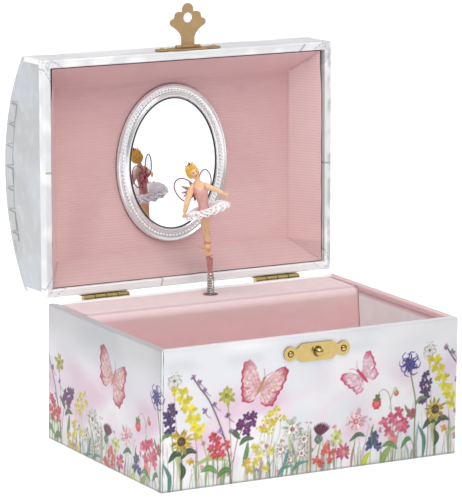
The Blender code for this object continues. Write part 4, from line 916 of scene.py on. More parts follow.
def case_wall(side, strip):
    """One papered wall of the case, painted with its part of the printed strip."""
    start, along, inward, length, offset = SIDES[side]
    step = PRINT_STEP if side in ("front", "left") else PLAIN_STEP
    profile = wall_profile(step)
    near = np.arange(MITRE, 1.2, 0.12)
    columns = np.concatenate([near, np.arange(1.2, length - 1.2, step), (length - near)[::-1]])
    end = np.minimum(columns, length - columns)[None, :]
    into, height, outer = (profile[:, index][:, None] for index in range(3))
    reach = (length / 2 - np.maximum(into, MITRE)) / (length / 2 - MITRE)
    a = length / 2 + (columns - length / 2) * reach
    place = np.stack([a + offset, height + 0 * a], -1)
    near_rim = ramp(height, CASE_TOP - 4.5, CASE_TOP - 0.5)
    wrinkle = (0.05 * ripple(place, 22, 3) - 0.035 * creases(place, 30, 5) * ramp(height, 45, 64)
               + near_rim * 0.07 * ripple(place * (1, 0.4), 5.5, 8))
    depth = into + corner_inset(end) * ramp(WALL - into, 0, 1.5) - ramp(end, 0.3, 3.0) * outer * wrinkle
    z = height + 0.05 * near_rim * (ripple(place, 8, 9) * (into < WALL) - 1)
    x = start[0] + along[0] * a + inward[0] * depth
    y = start[1] + along[1] * a + inward[1] * depth
    paint = wall_paint(side, strip(columns + offset + 0 * z, z), columns, end, into, height, outer, z, place)
    obj = Shape().grid(np.stack([x, y, z], -1), wrap=(True, False), ends=True).build(
        f"case_wrap_{side}", "case", PAPER, slot="silver_paper", replaces=(f"case_{side}_panel",),
        sharp=50, paint=[paint])
    if side == "back":
        open_key_hole(obj.data)


def wall_paint(side, paint, columns, end, into, height, outer, z, place):
    """The print, blank past the rim, with a dark line inside the corners and painted shade at the foot and
    below the rim; more painted light and shade is marked below.
    """
    seen = {name: float(name == side) for name in SIDES}
    # painted light and shade: the left wall darker, the front darker towards its right end, the left wall
    # darker again towards its top, and the back's outer face brighter
    light = {"front": 0.955 - 0.10 * ramp(columns, 40, LONG), "left": 0.90}.get(side, 0.95)
    upper_painted_shade = 1 - 0.13 * seen["left"] * ramp(z, 42, 62)
    back_light = 1 + 0.05 * seen["back"] * (into < 1)
    paint = paint * (light * upper_painted_shade * back_light)[..., None]
    # a dark line painted just inside each corner; on the front, only at its left corner
    corner_dark_line = bell(end - 0.75, 0.22) * (outer > 0.4)
    if side == "front":
        corner_dark_line = corner_dark_line * (columns < 3)
    # painted shade in soft patches just below the front's rim
    painted_shade_below_rim = bell(z - 58.5, 3.2) * ramp(ripple(place, 24, 13), -0.6, 0.7) * (z < 64)
    # the paper past the rim painted whiter on the back, as painted light; the left wall's rim top painted
    # grey, as painted shade; a painted highlight along each corner; painted shade along the foot
    return coats(
        paint, ("FAFAFB" if side == "back" else "E9EAED", ramp(into, 0.3, 1.3) * (height > 20) + 0 * z),
        ("2E3A34", 0.8 * corner_dark_line * (0.7 + 0.4 * ripple(place, 9, 12)).clip(0, 1)),
        ("EACACC", seen["right"] * ramp(into, 1.0, 1.6) + 0 * z),
        ("AEABAD", 0.8 * seen["left"] * ramp(z, CASE_TOP - 0.5, CASE_TOP - 0.1)),
        ("C4C7CC", 0.55 * seen["front"] * painted_shade_below_rim),
        ("F6F7F8", 0.9 * bell(end, 0.45) + 0 * z),
        ("6A6460", 0.55 * (1 - ramp(z, 0.0, 1.3)) * (into < 1)))


def open_key_hole(mesh):
    """Opens the paper round the winding arbor; the eyelet covers the cut edge."""

    def near_key(face):
        middle = face.calc_center_median() / MM
        return len(face.verts) == 4 and math.hypot(middle.x - KEY_X, middle.z - KEY_Z) < KEY_HOLE

    def cut(bm):
        bmesh.ops.delete(bm, geom=[face for face in bm.faces if near_key(face)], context="FACES")

    edit_mesh(mesh, cut)


def key_eyelet():
    """A brass eyelet through the back wall, flanged outside and in."""
    section = [
        (2.35, -WALL - 0.3), (3.6, -WALL - 0.3), (3.7, -WALL - 0.1), (2.75, -WALL + 0.05), (2.75, 0.0),
        (4.1, 0.08), (4.3, 0.22), (4.1, 0.42), (3.2, 0.62), (2.6, 0.55), (2.35, 0.3),
    ]
    rings = [oval_ring((KEY_X, EDGE + y, KEY_Z), r, r, 48, upright=True) for r, y in section]
    Shape().grid(np.array(rings), wrap=(True, True)).build(
        "key_eyelet", "case", BRASS, slot="brass_fitting", sharp=50)


DECK_LEAN = 8.0  # how far back the deck's front leans, from its foot to its top
CARD = 1.2  # thickness of the card round the compartment


def compartment_walls():
    """Cloth-covered card standing round the compartment, with soft rolled top edges."""
    half, front, top = LINING_HIGH[0], LINING_LOW[1], LINING_HIGH[2]
    back = DECK_LOW[1] + 7.9
    path = [(-half, back), (-half, front), (half, front), (half, back)]
    loop = []
    for start, stop in zip(np.array(path), np.array(path[1:])):
        steps = int(math.dist(start, stop) / 1.2)
        loop += [start + (stop - start) * i / steps for i in range(steps)]
    x0, y0 = np.array([*loop, path[-1]]).T
    section = [(0.15, 4.0), (0.0, 20), (0.0, 40), (0.0, top - 0.6)]
    section += [(CARD / 2 * (1 - math.cos(t)), top - 0.6 + 0.6 * math.sin(t))
                for t in np.linspace(0.3, math.pi - 0.3, 6)]
    section += [(CARD, z) for z in np.linspace(top - 0.9, 5.6, 26)]
    rows = []
    for depth, z in section:
        x = np.clip(x0, -half + depth, half - depth)
        lean = (z - DECK_FOOT) / (DECK_TOP - DECK_FOOT)
        y = np.minimum(np.maximum(y0, front + depth), DECK_LOW[1] + DECK_LEAN * lean - 0.25)
        soft = 0.10 * ripple(np.stack([x0, y0, 0 * x + z], -1), 16, 21)
        rows.append(np.stack([x - np.sign(x) * (depth > 1) * soft.clip(-0.1, 0.1), y, 0 * x + z], -1))
    grid = np.array(rows)
    x, z = grid[..., 0], grid[..., 2]
    # the right wall's inner face painted near white: its pale paper, painted lighter still as painted light
    paint = coats("E4BABD", ("FCFFFF", ramp(x, half - 3, half - 1.5)),
                  ("E8CDD2", 0.5 * ramp(z, top - 2.0, top)),
                  ("C9A2A8", ramp(z, top - 1.4, top - 0.8) * (x > half - 3)))
    Shape().grid(grid, wrap=(True, False)).build(
        "compartment_walls", "case", CLOTH, slot="pink_lining", replaces=("compartment_lining",), sharp=50,
        paint=[paint])


def compartment_floor():
    """A thin padded floor, crowned in the middle and pulled in at its edges."""
    inset, level, bottom = 1.4, 5.1, 4.2
    half, front, back = LINING_HIGH[0] - inset, LINING_LOW[1] + inset, DECK_LOW[1] - 0.4
    u, v = np.meshgrid(np.linspace(-1, 1, 120), np.linspace(-1, 1, 60), indexing="xy")
    crown = (1 - u**6) * (1 - v**6)
    x, y = u * half, (front + back) / 2 + v * (back - front) / 2
    z = level + 0.9 * crown**0.5 + 0.12 * ripple(np.stack([x, y], -1), 18, 31) * crown
    Shape().slab(np.stack([x, y, z], -1), np.stack([x, y, 0 * z + bottom], -1)).build(
        "compartment_pad", "case", CLOTH, slot="pink_lining", sharp=60, paint=["D3A9AC"])


# The cloth deck's line: up its leaning front, round a soft bend, and back along its flat top.
HOLE = 3.5  # radius of the hole round the spring
LIP = 0.42  # radius of the rolled cloth at the hole's edge
BEND = 4.5  # how far from the top edge the bend begins
RISE = np.array((DECK_LEAN, DECK_TOP - DECK_FOOT))
SLOPE = RISE / np.linalg.norm(RISE)
FRONT_RUN = np.linalg.norm(RISE) - BEND
BEND_TURN = math.atan2(SLOPE[1], SLOPE[0])
BEND_RADIUS = BEND / math.tan((math.pi - BEND_TURN) / 2)
BEND_END = FRONT_RUN + BEND_RADIUS * BEND_TURN
DECK_START = np.array((DECK_LOW[1], DECK_FOOT))
BEND_CENTRE = DECK_START + SLOPE * FRONT_RUN + np.array((SLOPE[1], -SLOPE[0])) * BEND_RADIUS


def deck_points(s):
    """The cloth deck's outer surface (y, z) at an arc length from its front foot."""
    angle = math.pi / 2 + BEND_TURN - np.clip((s - FRONT_RUN) / BEND_RADIUS, 0, BEND_TURN)
    zones = [s < FRONT_RUN, s < BEND_END]
    y = np.select(zones, [DECK_START[0] + SLOPE[0] * s, BEND_CENTRE[0] + BEND_RADIUS * np.cos(angle)],
                  BEND_CENTRE[0] + s - BEND_END)
    z = np.select(zones, [DECK_START[1] + SLOPE[1] * s, BEND_CENTRE[1] + BEND_RADIUS * np.sin(angle)],
                  DECK_TOP)
    return y, z


def deck_cloth():
    """The deck's cover: cloth over card, with a soft bend, open round the spring."""
    low_x, high_x = DECK_LOW[0] + 0.2, DECK_HIGH[0] - 0.2
    last = BEND_END + DECK_HIGH[1] - 0.2 - BEND_CENTRE[0]
    s = np.concatenate([np.linspace(0, FRONT_RUN, 60), np.linspace(FRONT_RUN + 0.3, BEND_END, 16),
                        np.arange(BEND_END + 0.5, last, 0.5), [last]])
    x = np.append(np.arange(low_x, high_x, 0.55), high_x)
    x, s = np.meshgrid(x, s, indexing="xy")
    y, z = deck_points(s)
    place = np.stack([x, s], -1)
    near_end = np.minimum(x - low_x, high_x - x)
    soft = 0.10 * ripple(place, 26, 41) + 0.05 * ripple(place, 9, 42)
    tucked = 0.5 * (1 - ramp(near_end, 0, 1.6)) ** 2
    on_top = s > BEND_END
    z = z + np.where(on_top, soft - 0.15 - tucked, 0)
    y = y + np.where(on_top, 0, 0.1 - soft + tucked)
    reach = np.hypot(x - SPIN_X, y - SPIN_Y)
    # points near the hole's edge move onto it
    scale = np.where(on_top & (reach < HOLE + LIP), HOLE / np.maximum(reach, 0.01), 1.0)
    x = SPIN_X + (x - SPIN_X) * scale
    y = SPIN_Y + (y - SPIN_Y) * scale
    z = z - 0.25 * bell((reach - HOLE).clip(0), 1.2) * on_top
    top = np.stack([x, y, z], -1)
    under = np.stack([x, y + np.where(on_top, 0.0, 1.4), z - np.where(on_top, 1.4, 0.4)], -1)
    shape = Shape().slab(top, under, gone=on_top & (reach < HOLE - LIP))
    shape.tube(oval_ring((SPIN_X, SPIN_Y, DECK_TOP - 0.75), HOLE, HOLE, 48), LIP, 10, closed=True,
               flatten=1.7)
    # painted light and shade: the leaning front painted lighter than the top, the cloth darker where it tucks
    # in at the ends, and the rolled lip round the hole darker
    paint = coats("F6CDCE", ("ECD7D8", ramp(s, FRONT_RUN - 7.0, BEND_END + 2.0)),
                  ("B48A92", 0.55 * (1 - ramp(near_end, 0.5, 2.2))))
    obj = shape.build("deck_cloth", "case", CLOTH, slot="pink_lining", replaces=("deck_cover",), sharp=55,
                      paint=[paint, paint, "B98E92"])
    edit_mesh(obj.data, remove_loose)


def remove_loose(bm):
    bmesh.ops.delete(bm, geom=[v for v in bm.verts if not v.link_faces], context="VERTS")


def wire_grommet():
    """A small ring in the deck where the stop wire comes through."""
    ring = oval_ring((WIRE[0], WIRE[1], DECK_TOP + 0.05), 1.0, 1.0, 32)
    Shape().tube(ring, 0.32, 10, closed=True).build("stop_wire_grommet", "case", STEEL, slot="steel")


# ---------------------------------------------------------------- the lid

def dome_height(y, drop=0.0):
    """The height of the dome's face, or of a surface that far inside it."""
    return APEX - DOME_RADIUS + np.sqrt((DOME_RADIUS - drop) ** 2 - np.asarray(y) ** 2)


def lid_outline(step, inset=0.0):
    """(y, z) up the front wall, over the dome and down the back, moved in by inset."""
    edge = EDGE - inset
    front = [(-edge, z) for z in np.arange(RIM + 0.6, DOME_FOOT - 0.6, step)]
    y = np.linspace(-edge + 0.25, edge - 0.25, int(2 * edge / step))
    dome = list(zip(y, dome_height(y, inset)))
    return np.array(front + dome + [(-a, b) for a, b in front[::-1]])


def lid_cover():
    """The papered front wall, dome and back wall in one sweep, closed by an inside sheet."""
    step, thick = 1.1, 2.4
    near = np.array([0.25, 0.35, 0.5, 0.7, 0.95, 1.4, 2.2])
    x = np.concatenate([near, np.arange(3.2, LONG - 3.2, 1.15), (LONG - near)[::-1]])
    end = np.minimum(x, LONG - x)
    outline, under = lid_outline(step), lid_outline(step, thick)[::-1]
    line = np.concatenate([outline, under])
    grid = np.empty((len(line), len(x), 3))
    grid[..., 0] = x - HALF
    grid[..., 1:] = line[:, None, :]
    outer = grid[: len(outline)]
    away = outline - (0.0, DOME_FOOT - 20)
    away /= np.linalg.norm(away, axis=1)[:, None]
    dent = 0.10 * ripple(outer, 34, 51) - 0.10 * creases(outer, 46, 52, 0.06)
    outer[..., 1:] += (dent * ramp(end, 0.5, 4.0) - corner_inset(end + 0.05))[..., None] * away[:, None, :]
    paint = mixed("EDEEF1", "FBFBFC", ramp(ripple(grid, 40, 53), -0.6, 0.6))
    Shape().grid(grid, wrap=(True, False), ends=True).build(
        "lid_cover", "lid", PAPER, OPEN, slot="silver_paper", sharp=50, paint=[paint],
        replaces=("lid_top_panel", "lid_front_panel", "lid_back_panel"))


TAB_PITCH, SLITS = 10.6, 3  # the folded tabs on the lid's ends, and the slits each side of the middle


def end_relief(y, below):
    """How far the paper stands out on a lid's end: folded tabs follow the dome's edge, with slits
    between them; the dome's paper runs on towards each corner as a plain turned edge."""
    edge_wave = 0.35 * ripple(np.stack([y, below * 0], -1), 9, 61)
    depth = 8.0 + edge_wave + 0.9 * np.cos(y / 16.0)
    slot_at = (y + 2.0) / TAB_PITCH
    nearest = np.round(slot_at)
    from_slit = np.abs(slot_at - nearest) * TAB_PITCH - below * 0.10
    has_slit, has_tab = np.abs(nearest) <= SLITS, np.abs(y) <= (SLITS + 0.2) * TAB_PITCH
    tab = ramp(depth - below, 0.0, 0.22) * ~((from_slit < 0.16) & has_slit)
    turned_edge = ramp(2.6 + 0.2 * edge_wave - below, 0.0, 0.25)
    # the second value marks where shade is painted: along the tabs' folded edges and in the slits
    line = bell(depth - below, 0.28) * has_tab
    gap = bell(from_slit - 0.16, 0.22) * (below < depth) * has_slit
    return np.where(has_tab, tab, turned_edge), np.clip(line + gap, 0, 1)


def lid_end(side, word):
    """A papered end wall under the dome, with the folded tabs standing a little out of it."""
    y_edge, recess, tab_height = EDGE - MITRE, 0.32, 0.30
    y = np.linspace(-y_edge, y_edge, 420)[None, :]
    fine, foot = 10.4, 44  # the rows are close together down to fine, where the tabs are
    below = np.concatenate([np.arange(0, fine, 0.18), np.linspace(fine, foot, 40)])[:, None]
    top = dome_height(y, MITRE) - 0.2 * (np.abs(y) > y_edge - 0.4)
    height = top - (RIM + 0.5)
    rest = np.clip((below - fine) / (foot - fine), 0, 1)
    far = np.minimum(fine, 0.5 * height) * (1 - rest) + height * rest
    drop = np.where(below <= fine, np.minimum(below, 0.5 * height), far)
    z, y = top - drop, y + 0 * below
    raised, line = end_relief(y, drop)
    place = np.stack([y, z], -1)
    dent = 0.16 * ripple(place, 20, 64 + side) + 0.06 * ripple(place, 7, 66 + side)
    from_rim = np.minimum(drop, y_edge + MITRE - np.abs(y))
    out = (HALF - recess + tab_height * raised + dent * ramp(from_rim, 1.0, 5.0) * (1 - raised)
           - corner_inset(from_rim + MITRE))
    shape = Shape().slab(np.stack([side * out, y, z], -1), np.stack([side * (HALF - WALL + 0 * z), y, z], -1))
    # painted shade: a dark line along the tabs' edges and in the slits between them
    paint = coats("C1C3C4", ("CACDD6", ramp(ripple(place, 30, 71), -0.2, 0.9) * 0.8),
                  ("D8DADC", 0.35 * ramp(ripple(place, 9, 72), 0.2, 1)), ("86888A", 0.7 * line))
    shape.build(f"lid_end_{word}", "lid", END_FOIL, OPEN, slot="silver_paper",
                replaces=(f"lid_{word}_end",), sharp=35, paint=[paint, "8A857E"])


LAPS = (145.0, 61.0, 97.0, 61.0)  # where each side's paper is joined, from its first corner
RIM_GAP = 0.08  # how far the paper's inner edge stands off the wall


def rim_section():
    """(depth from the outer face, rise from the rim) across the turned paper."""
    section = [(0.0, 5.0), (-0.02, 3.2), (0.0, 1.4)]
    section += [(1.0 - math.cos(t), 1.0 - math.sin(t)) for t in np.linspace(0.25, math.pi / 2, 5)]
    section += [(d, 0.0) for d in np.linspace(1.4, WALL - 1.2, 5)]
    section += [(WALL - 0.8 + 0.8 * math.sin(t), 0.8 - 0.8 * math.cos(t))
                for t in np.linspace(0.2, math.pi / 2, 5)]
    return np.array(section + [(WALL + RIM_GAP, 2.2), (WALL + RIM_GAP, 6.0)])


def rim_columns():
    """Places round the lid's outline, with the distance to the nearest corner, the distance to the
    paper's join, and whether the wall there runs along x."""
    corners = np.array([(-HALF, -EDGE), (HALF, -EDGE), (HALF, EDGE), (-HALF, EDGE)], float)
    near = np.array([0.0, 0.25, 0.5, 0.8, 1.2, 1.8, 2.6])
    at, far, seam, runs_x = [], [], [], []
    for start, stop, lap in zip(corners, np.roll(corners, -1, 0), LAPS):
        length = np.linalg.norm(stop - start)
        t = np.concatenate([near, np.arange(3.4, length - 3.4, 0.8), (length - near[1:])[::-1]])
        at.append(start + (stop - start) * t[:, None] / length)
        far.append(np.minimum(t, length - t))
        seam.append(np.abs(t - lap))
        runs_x.append(np.full(len(t), start[1] == stop[1]))
    return [np.concatenate(column) for column in (at, far, seam, runs_x)]


def rim_paper():
    """The paper turned over the lid's rim, puckered and folded at the mitred corners."""
    at, far, seam, runs_x = rim_columns()
    depth, rise = (v[:, None] for v in rim_section().T)
    # each ring of the sweep shrinks with depth, so the mitres stay at the corners; across a wall
    # every ring stays inside the outer face, and along it the depth keeps its sign
    inside = np.abs(depth)
    shrink_x, shrink_y = np.where(runs_x, (depth, inside), (inside, depth))
    grid = np.stack([at[:, 0] * (1 - shrink_x / HALF), at[:, 1] * (1 - shrink_y / EDGE),
                     RIM + rise + 0 * far], -1)
    knot, fold = bell(far, 5.5), bell(far - 4.2 - 0.7 * depth, 0.35)
    pucker = (0.07 * ripple(grid * (1, 1, 0.5), 5.0, 81) + 0.07 * ripple(grid, 16, 82)
              + 0.22 * knot * ripple(grid, 2.6, 83) - 0.14 * fold)
    lap = (seam < 0.5) * (depth > 0.5)
    on_face = ramp(1.6 - np.abs(rise), 0.0, 1.2)
    grid[..., 2] += (0.10 + pucker.clip(-0.18, 0.3) - 0.06 * lap) * on_face
    outward = (1 - on_face) * (0.02 + 0.5 * pucker.clip(-0.1, 0.12)) * np.where(depth < WALL / 2, 1, -1)
    for axis, half in ((0, HALF), (1, EDGE)):
        spot = grid[..., axis].copy()
        grid[..., axis] += np.sign(spot) * outward * (np.abs(spot) > half - WALL - 0.1)
    on_right = ramp(2.7 - depth, 0, 0.9) * ramp(grid[..., 0], HALF - WALL - 1, HALF - WALL)
    # painted shade in the folds and creases at the corners
    paint = coats("E6E7E9", ("FAFAFB", ramp(ripple(grid, 12, 84), -0.3, 0.8)),
                  ("A2A6AC", 0.80 * np.clip(fold + 0.8 * knot * creases(grid, 3.2, 85, 0.12), 0, 1)),
                  ("B9BDC3", 0.75 * on_right * ramp(ripple(grid, 8, 86), -0.7, 0.5)), ("8E9296", 0.8 * lap))
    # painted light: the rim paper brighter along the back
    paint = paint * (1 + 0.14 * ramp(grid[..., 1], EDGE - WALL - 0.5, EDGE - WALL))[..., None]
    Shape().grid(grid, wrap=(False, True)).build(
        "lid_rim_paper", "lid", END_FOIL, OPEN, slot="silver_paper", sharp=60, paint=[paint])


RIB_PITCH = 1.35
RIB_HEIGHT = 0.042
CEILING_X, CEILING_FRONT, CEILING_BACK = 65.0, -41.7, 42.7  # the lining's flat ceiling ends here


def tray_cloth():
    """The lid's lining: one ribbed cloth over a tray with a flat ceiling and four leaning walls."""
    half_x, half_y = TRAY_HIGH[0] - 0.3, TRAY_HIGH[1] - 0.3
    rim_z, ceiling = TRAY_LOW[2] - 0.9, TRAY_HIGH[2] - 1.0
    y = np.arange(-half_y, half_y + 0.1, RIB_PITCH / 5)[:, None]
    x = np.concatenate([np.linspace(-half_x, -CEILING_X, 14)[:-1], np.linspace(-CEILING_X, CEILING_X, 60),
                        np.linspace(CEILING_X, half_x, 14)[1:]])[None, :]
    front = (y - CEILING_FRONT) / (-half_y - CEILING_FRONT)
    back = (y - CEILING_BACK) / (half_y - CEILING_BACK)
    lean_y = np.clip(np.maximum(front, back), 0, 1)
    lean_x = np.clip((np.abs(x) - CEILING_X) / (half_x - CEILING_X), 0, 1)
    lean = np.maximum(lean_x, lean_y)
    x, y = x + 0 * y, y + 0 * x
    place = np.stack([x, y], -1)
    crease = 0.35 * bell(lean_x - lean_y, 0.06) * (lean > 0.05)
    ribs = RIB_HEIGHT * np.sin(TURN * y / RIB_PITCH + 0.7 * ripple(place, 60, 91))
    soft = 0.16 * ripple(place, 30, 92) + 0.05 * ripple(place, 9, 93)
    pulled = ramp(1 - lean, 0.0, 0.08)
    dented = 1.1 * np.exp(-((x - WIRE[0]) ** 2 + (y - WIRE[1]) ** 2) / 9.0)  # by the stop wire
    z = ceiling - (ceiling - rim_z) * lean + dented - (ribs + soft * 0.6 + crease) * pulled
    z = np.minimum(z, ceiling + 0.35)
    # the cloth stands off the rim most at the corner by the clasp
    pull = 0.10 + 0.85 * ramp(-y, 22, 50) + 0.16 * ripple(place * (0, 1), 13, 94)
    x = x - np.sign(x) * pull * (1 - ramp(half_x - np.abs(x), 0, 5))
    sheet = np.stack([x, y, z], -1)
    # painted light and shade: the right leaning wall lighter, the lining lighter towards the hinge and darker
    # towards its front left corner
    on_right = ramp(x, CEILING_X - 0.6, CEILING_X + 0.4) * (lean_x > lean_y)
    paint = coats("DDB3B4", ("F2D2D2", on_right), ("F8D6D4", 0.68 * ramp(y, -32, 42)),
                  ("C9A0A2", 0.55 * ramp(-y, 12, 52) * ramp(-x, -70, 40)))
    # painted shade on the back leaning wall, in the ribs' troughs and along the corners' creases
    paint = coats(paint * (1 - 0.07 * ramp(back, 0.0, 0.1))[..., None],
                  ("CC9EA1", 0.22 * (ribs < -0.3 * RIB_HEIGHT)),
                  ("BE9094", 0.5 * (crease > 0.15) * pulled),
                  ("D6ABAD", 0.5 * ramp(ripple(place, 44, 95), 0, 1)))
    Shape().slab(sheet, sheet + (0, 0, 0.5)).build(
        "lid_lining_cloth", "lid", CLOTH, OPEN, slot="pink_lining", replaces=("lid_lining_tray",), sharp=35,
        paint=[paint, paint])


# (inset from the ring's outline, rise from its face) across the coved ring
RING_SECTION = (
    (0.0, 1.5), (0.25, 0.9), (0.9, 0.35), (1.3, 0.5), (1.7, 1.0), (2.3, 1.15), (3.4, 1.15), (4.2, 1.15),
    (4.7, 0.9), (5.1, 0.35), (5.7, 0.1), (6.2, 0.35), (6.55, 0.9), (6.7, 1.6), (5.4, 1.6),
)


def mirror_ring():
    """The silvered oval: a coved ring with a row of beads, and dark tubes as painted shadow lines at the
    glass and round the ring's outer edge.
    """
    (x, y, _), (wide, deep, _) = (RING_LOW + RING_HIGH) / 2, (RING_HIGH - RING_LOW) / 2
    back, face = RING_HIGH[2], RING_LOW[2] + 0.7

    def ring(inset, z):
        return oval_ring((x, y, z), wide - inset, deep - inset, 160)

    section = [(0.0, back), *((inset, face + rise) for inset, rise in RING_SECTION), (5.4, back)]
    Shape().grid(np.array([ring(*spot) for spot in section]), wrap=(True, True)).build(
        "mirror_ring", "lid", CHROME, OPEN, slot="silvered_frame", replaces=("mirror_frame",), sharp=60)
    bead_row(x, y, face + 0.85, wide - 3.2, deep - 3.2)
    for name, inset, z, thick in (("mirror_shadow_line", 6.9, GLASS_FACE - 0.05, 0.36),
                                  ("mirror_outer_shadow_line", -0.05, back - 0.25, 0.14)):
        Shape().tube(ring(inset, z), thick, 8, closed=True).build(
            name, "lid", DARK_LINE, OPEN, slot="silvered_frame")


def bead_row(x, y, z, wide, deep):
    """Beads evenly spaced along the ring's crest."""
    beads, count = Shape(), 112
    turns = np.linspace(0, TURN, 2000)
    steps = np.hypot(np.diff(wide * np.cos(turns)), np.diff(deep * np.sin(turns)))
    run = np.concatenate([[0], np.cumsum(steps)])
    for target in np.arange(count) / count * run[-1]:
        t = np.interp(target, run, turns)
        beads.oval((x + wide * math.cos(t), y + deep * math.sin(t), z), (0.72, 0.72, 0.62), rings=6, sides=8)
    beads.build("mirror_beads", "lid", PEARL, OPEN, slot="silvered_frame", sharp=80)


# ---------------------------------------------------------------- fittings and movement

CAD_LOOKS = (
    # starts of the nodes' names, material, width of the softened edges
    (("hinge_", "latch_"), BRASS, 0.12),
    (("hasp_",), BRASS_BACK, 0.12),
    (("case_bottom",), FOIL, 0),
    (("movement_bedplate", "spring_barrel"), CAST, 0.2),
    (("movement_screw", "comb", "dancer_spindle", "winding_key", "stop_wire", "spring_socket"), STEEL, 0.08),
    (("music_cylinder", "cylinder_gear", "governor", "crown_wheel"), GEAR_BRASS, 0.05),
    (("mirror_glass",), GLASS, 0),
)


def dress_cad_nodes():
    """Gives each carried-over CAD node its material, and softens the edges of the metal ones."""
    for name, obj in NODES.items():
        look = next((look for look in CAD_LOOKS if name.startswith(look[0])), None)
        if look and not obj.hide_render:
            obj.data.materials.clear()
            obj.data.materials.append(look[1])
            if look[2]:
                soften(obj, look[2])


def soften(obj, width):
    edge = obj.modifiers.new("edge", "BEVEL")
    edge.width = width * MM
    edge.segments = 2
    edge.limit_method = "ANGLE"
    edge.angle_limit = math.radians(40)


def latch_part(node):
    """A latch part's middle on the plate's face, its radius, and how far it stands off the plate."""
    low, high = box_mm(node)
    middle = np.array(((low[0] + high[0]) / 2, LATCH_FACE, (low[2] + high[2]) / 2))
    return middle, (high[2] - low[2]) / 2, LATCH_FACE - low[1]


def turned(name, node, section):
    """A smooth round fitting on the case's front, from (radius, distance in front of the plate)."""
    middle = latch_part(node)[0]
    rings = [oval_ring(middle - (0, out, 0), r, r, 36, upright=True) for r, out in section]
    Shape().grid(np.array(rings), (False, True), caps=True).build(
        name, "case", BRASS, slot="brass_fitting", replaces=(node,), sharp=60)


def latch_fittings():
    """Smooth nails and knob on the latch, the collar under the knob, and dark rings of painted shadow round
    their feet.
    """
    for side in ("left", "right"):
        _, head, reach = latch_part(f"latch_nail_{side}")
        dome = [(head * math.sin(t), reach * math.cos(t)) for t in np.linspace(0.05, math.pi / 2, 9)]
        turned(f"latch_dome_{side}", f"latch_nail_{side}", dome + [(0.45, -0.05), (0.45, -5.0), (0.1, -5.6)])
    middle, ball, reach = latch_part("latch_knob")
    knob = [(ball * math.sin(t), reach - ball + ball * math.cos(t)) for t in np.linspace(0.04, 2.45, 18)]
    turned("latch_ball", "latch_knob", knob + [(1.15, 0.5), (1.5, 0.1), (1.2, -0.3), (1.2, -3.5)])
    collar = oval_ring(middle - (0, 0.05, 0), 2.5, 2.5, 40, upright=True)
    Shape().tube(collar, 0.28, 8, closed=True).build("latch_collar", "case", BRASS, slot="brass_fitting")
    # dark rings at the feet of the nails and knob, as painted shadow
    lines = Shape()
    for node, radius in (("latch_nail_left", 1.45), ("latch_nail_right", 1.45), ("latch_knob", 2.05)):
        seat = oval_ring(latch_part(node)[0] - (0, 0.04, 0), radius, radius, 40, upright=True)
        lines.tube(seat, 0.17, 8, closed=True)
    lines.build("latch_shadow_lines", "case", DARK_BRASS, slot="brass_fitting")


def hinge_gaps():
    """The dark joints between the hinges' knuckles."""
    gaps, knuckles, barrel = Shape(), 4, 1.56
    for side in ("left", "right"):
        low, high = box_mm(f"hinge_pin_{side}")
        for index in range(1, knuckles):
            x = low[0] + (high[0] - low[0]) * index / knuckles
            gaps.tube([(x + shift, HINGE_Y, HINGE_Z) for shift in (-0.22, 0, 0.22)], barrel, 24)
    gaps.build("hinge_joint_lines", "case", DARK_LINE, slot="brass_fitting", sharp=50)


# ---------------------------------------------------------------- the dancer

# Places are (across, away from the viewer, up from the deck) in mm, in the dancer's own frame.
# Each limb is its path, then its radii from one end to the other.
LEG_STANDING = (
    [(-2.6, 0.3, 40.0), (-2.4, 0.3, 36.0), (-2.3, 0.3, 31.5), (-1.9, 0.25, 27.5), (-1.5, 0.2, 25.2),
     (-1.2, 0.2, 22.5), (-0.8, 0.1, 19.0), (-0.5, 0.0, 16.5), (-0.4, 0.0, 13.5), (-0.15, 0.0, 11.0),
     (-0.05, 0.0, 9.8)],
    [2.2, 2.0, 1.9, 1.8, 1.75, 1.7, 1.65, 1.7, 1.45, 1.2, 1.0])
LEG_CROSSED = (
    [(-3.4, -0.2, 40.0), (-3.4, -0.6, 35.0), (-2.8, -1.1, 30.0), (-1.9, -1.35, 26.6), (-1.4, -1.4, 25.0)],
    [1.9, 1.75, 1.6, 1.5, 1.5])
FOOT_CROSSED = (
    [(-0.6, -1.2, 23.6), (-2.4, -1.5, 23.4), (-4.2, -1.4, 23.5), (-6.0, -1.0, 23.9)], [1.8, 1.75, 1.2, 0.6])
HEEL_CROSSED = ([(-2.8, -1.2, 22.4), (-2.1, -1.1, 20.2), (-1.5, -0.7, 17.6)], [1.4, 1.15, 0.7])
ARM_LOWERED = (
    [(-8.6, 0, 53.4), (-10.0, -0.9, 50.9), (-11.1, -2.0, 47.8), (-11.8, -2.8, 45.2), (-12.4, -3.4, 42.8),
     (-12.9, -3.9, 40.8)], [1.6, 1.6, 1.5, 1.42, 1.2, 0.9])
ARM_RAISED = (
    [(-3.5, 0, 53.7), (-1.3, -0.3, 52.9), (0.7, -0.6, 52.2), (2.6, -0.9, 51.5), (4.6, -1.1, 50.6),
     (5.9, -1.3, 49.9)], [1.5, 1.4, 1.3, 1.2, 1.0, 0.75])
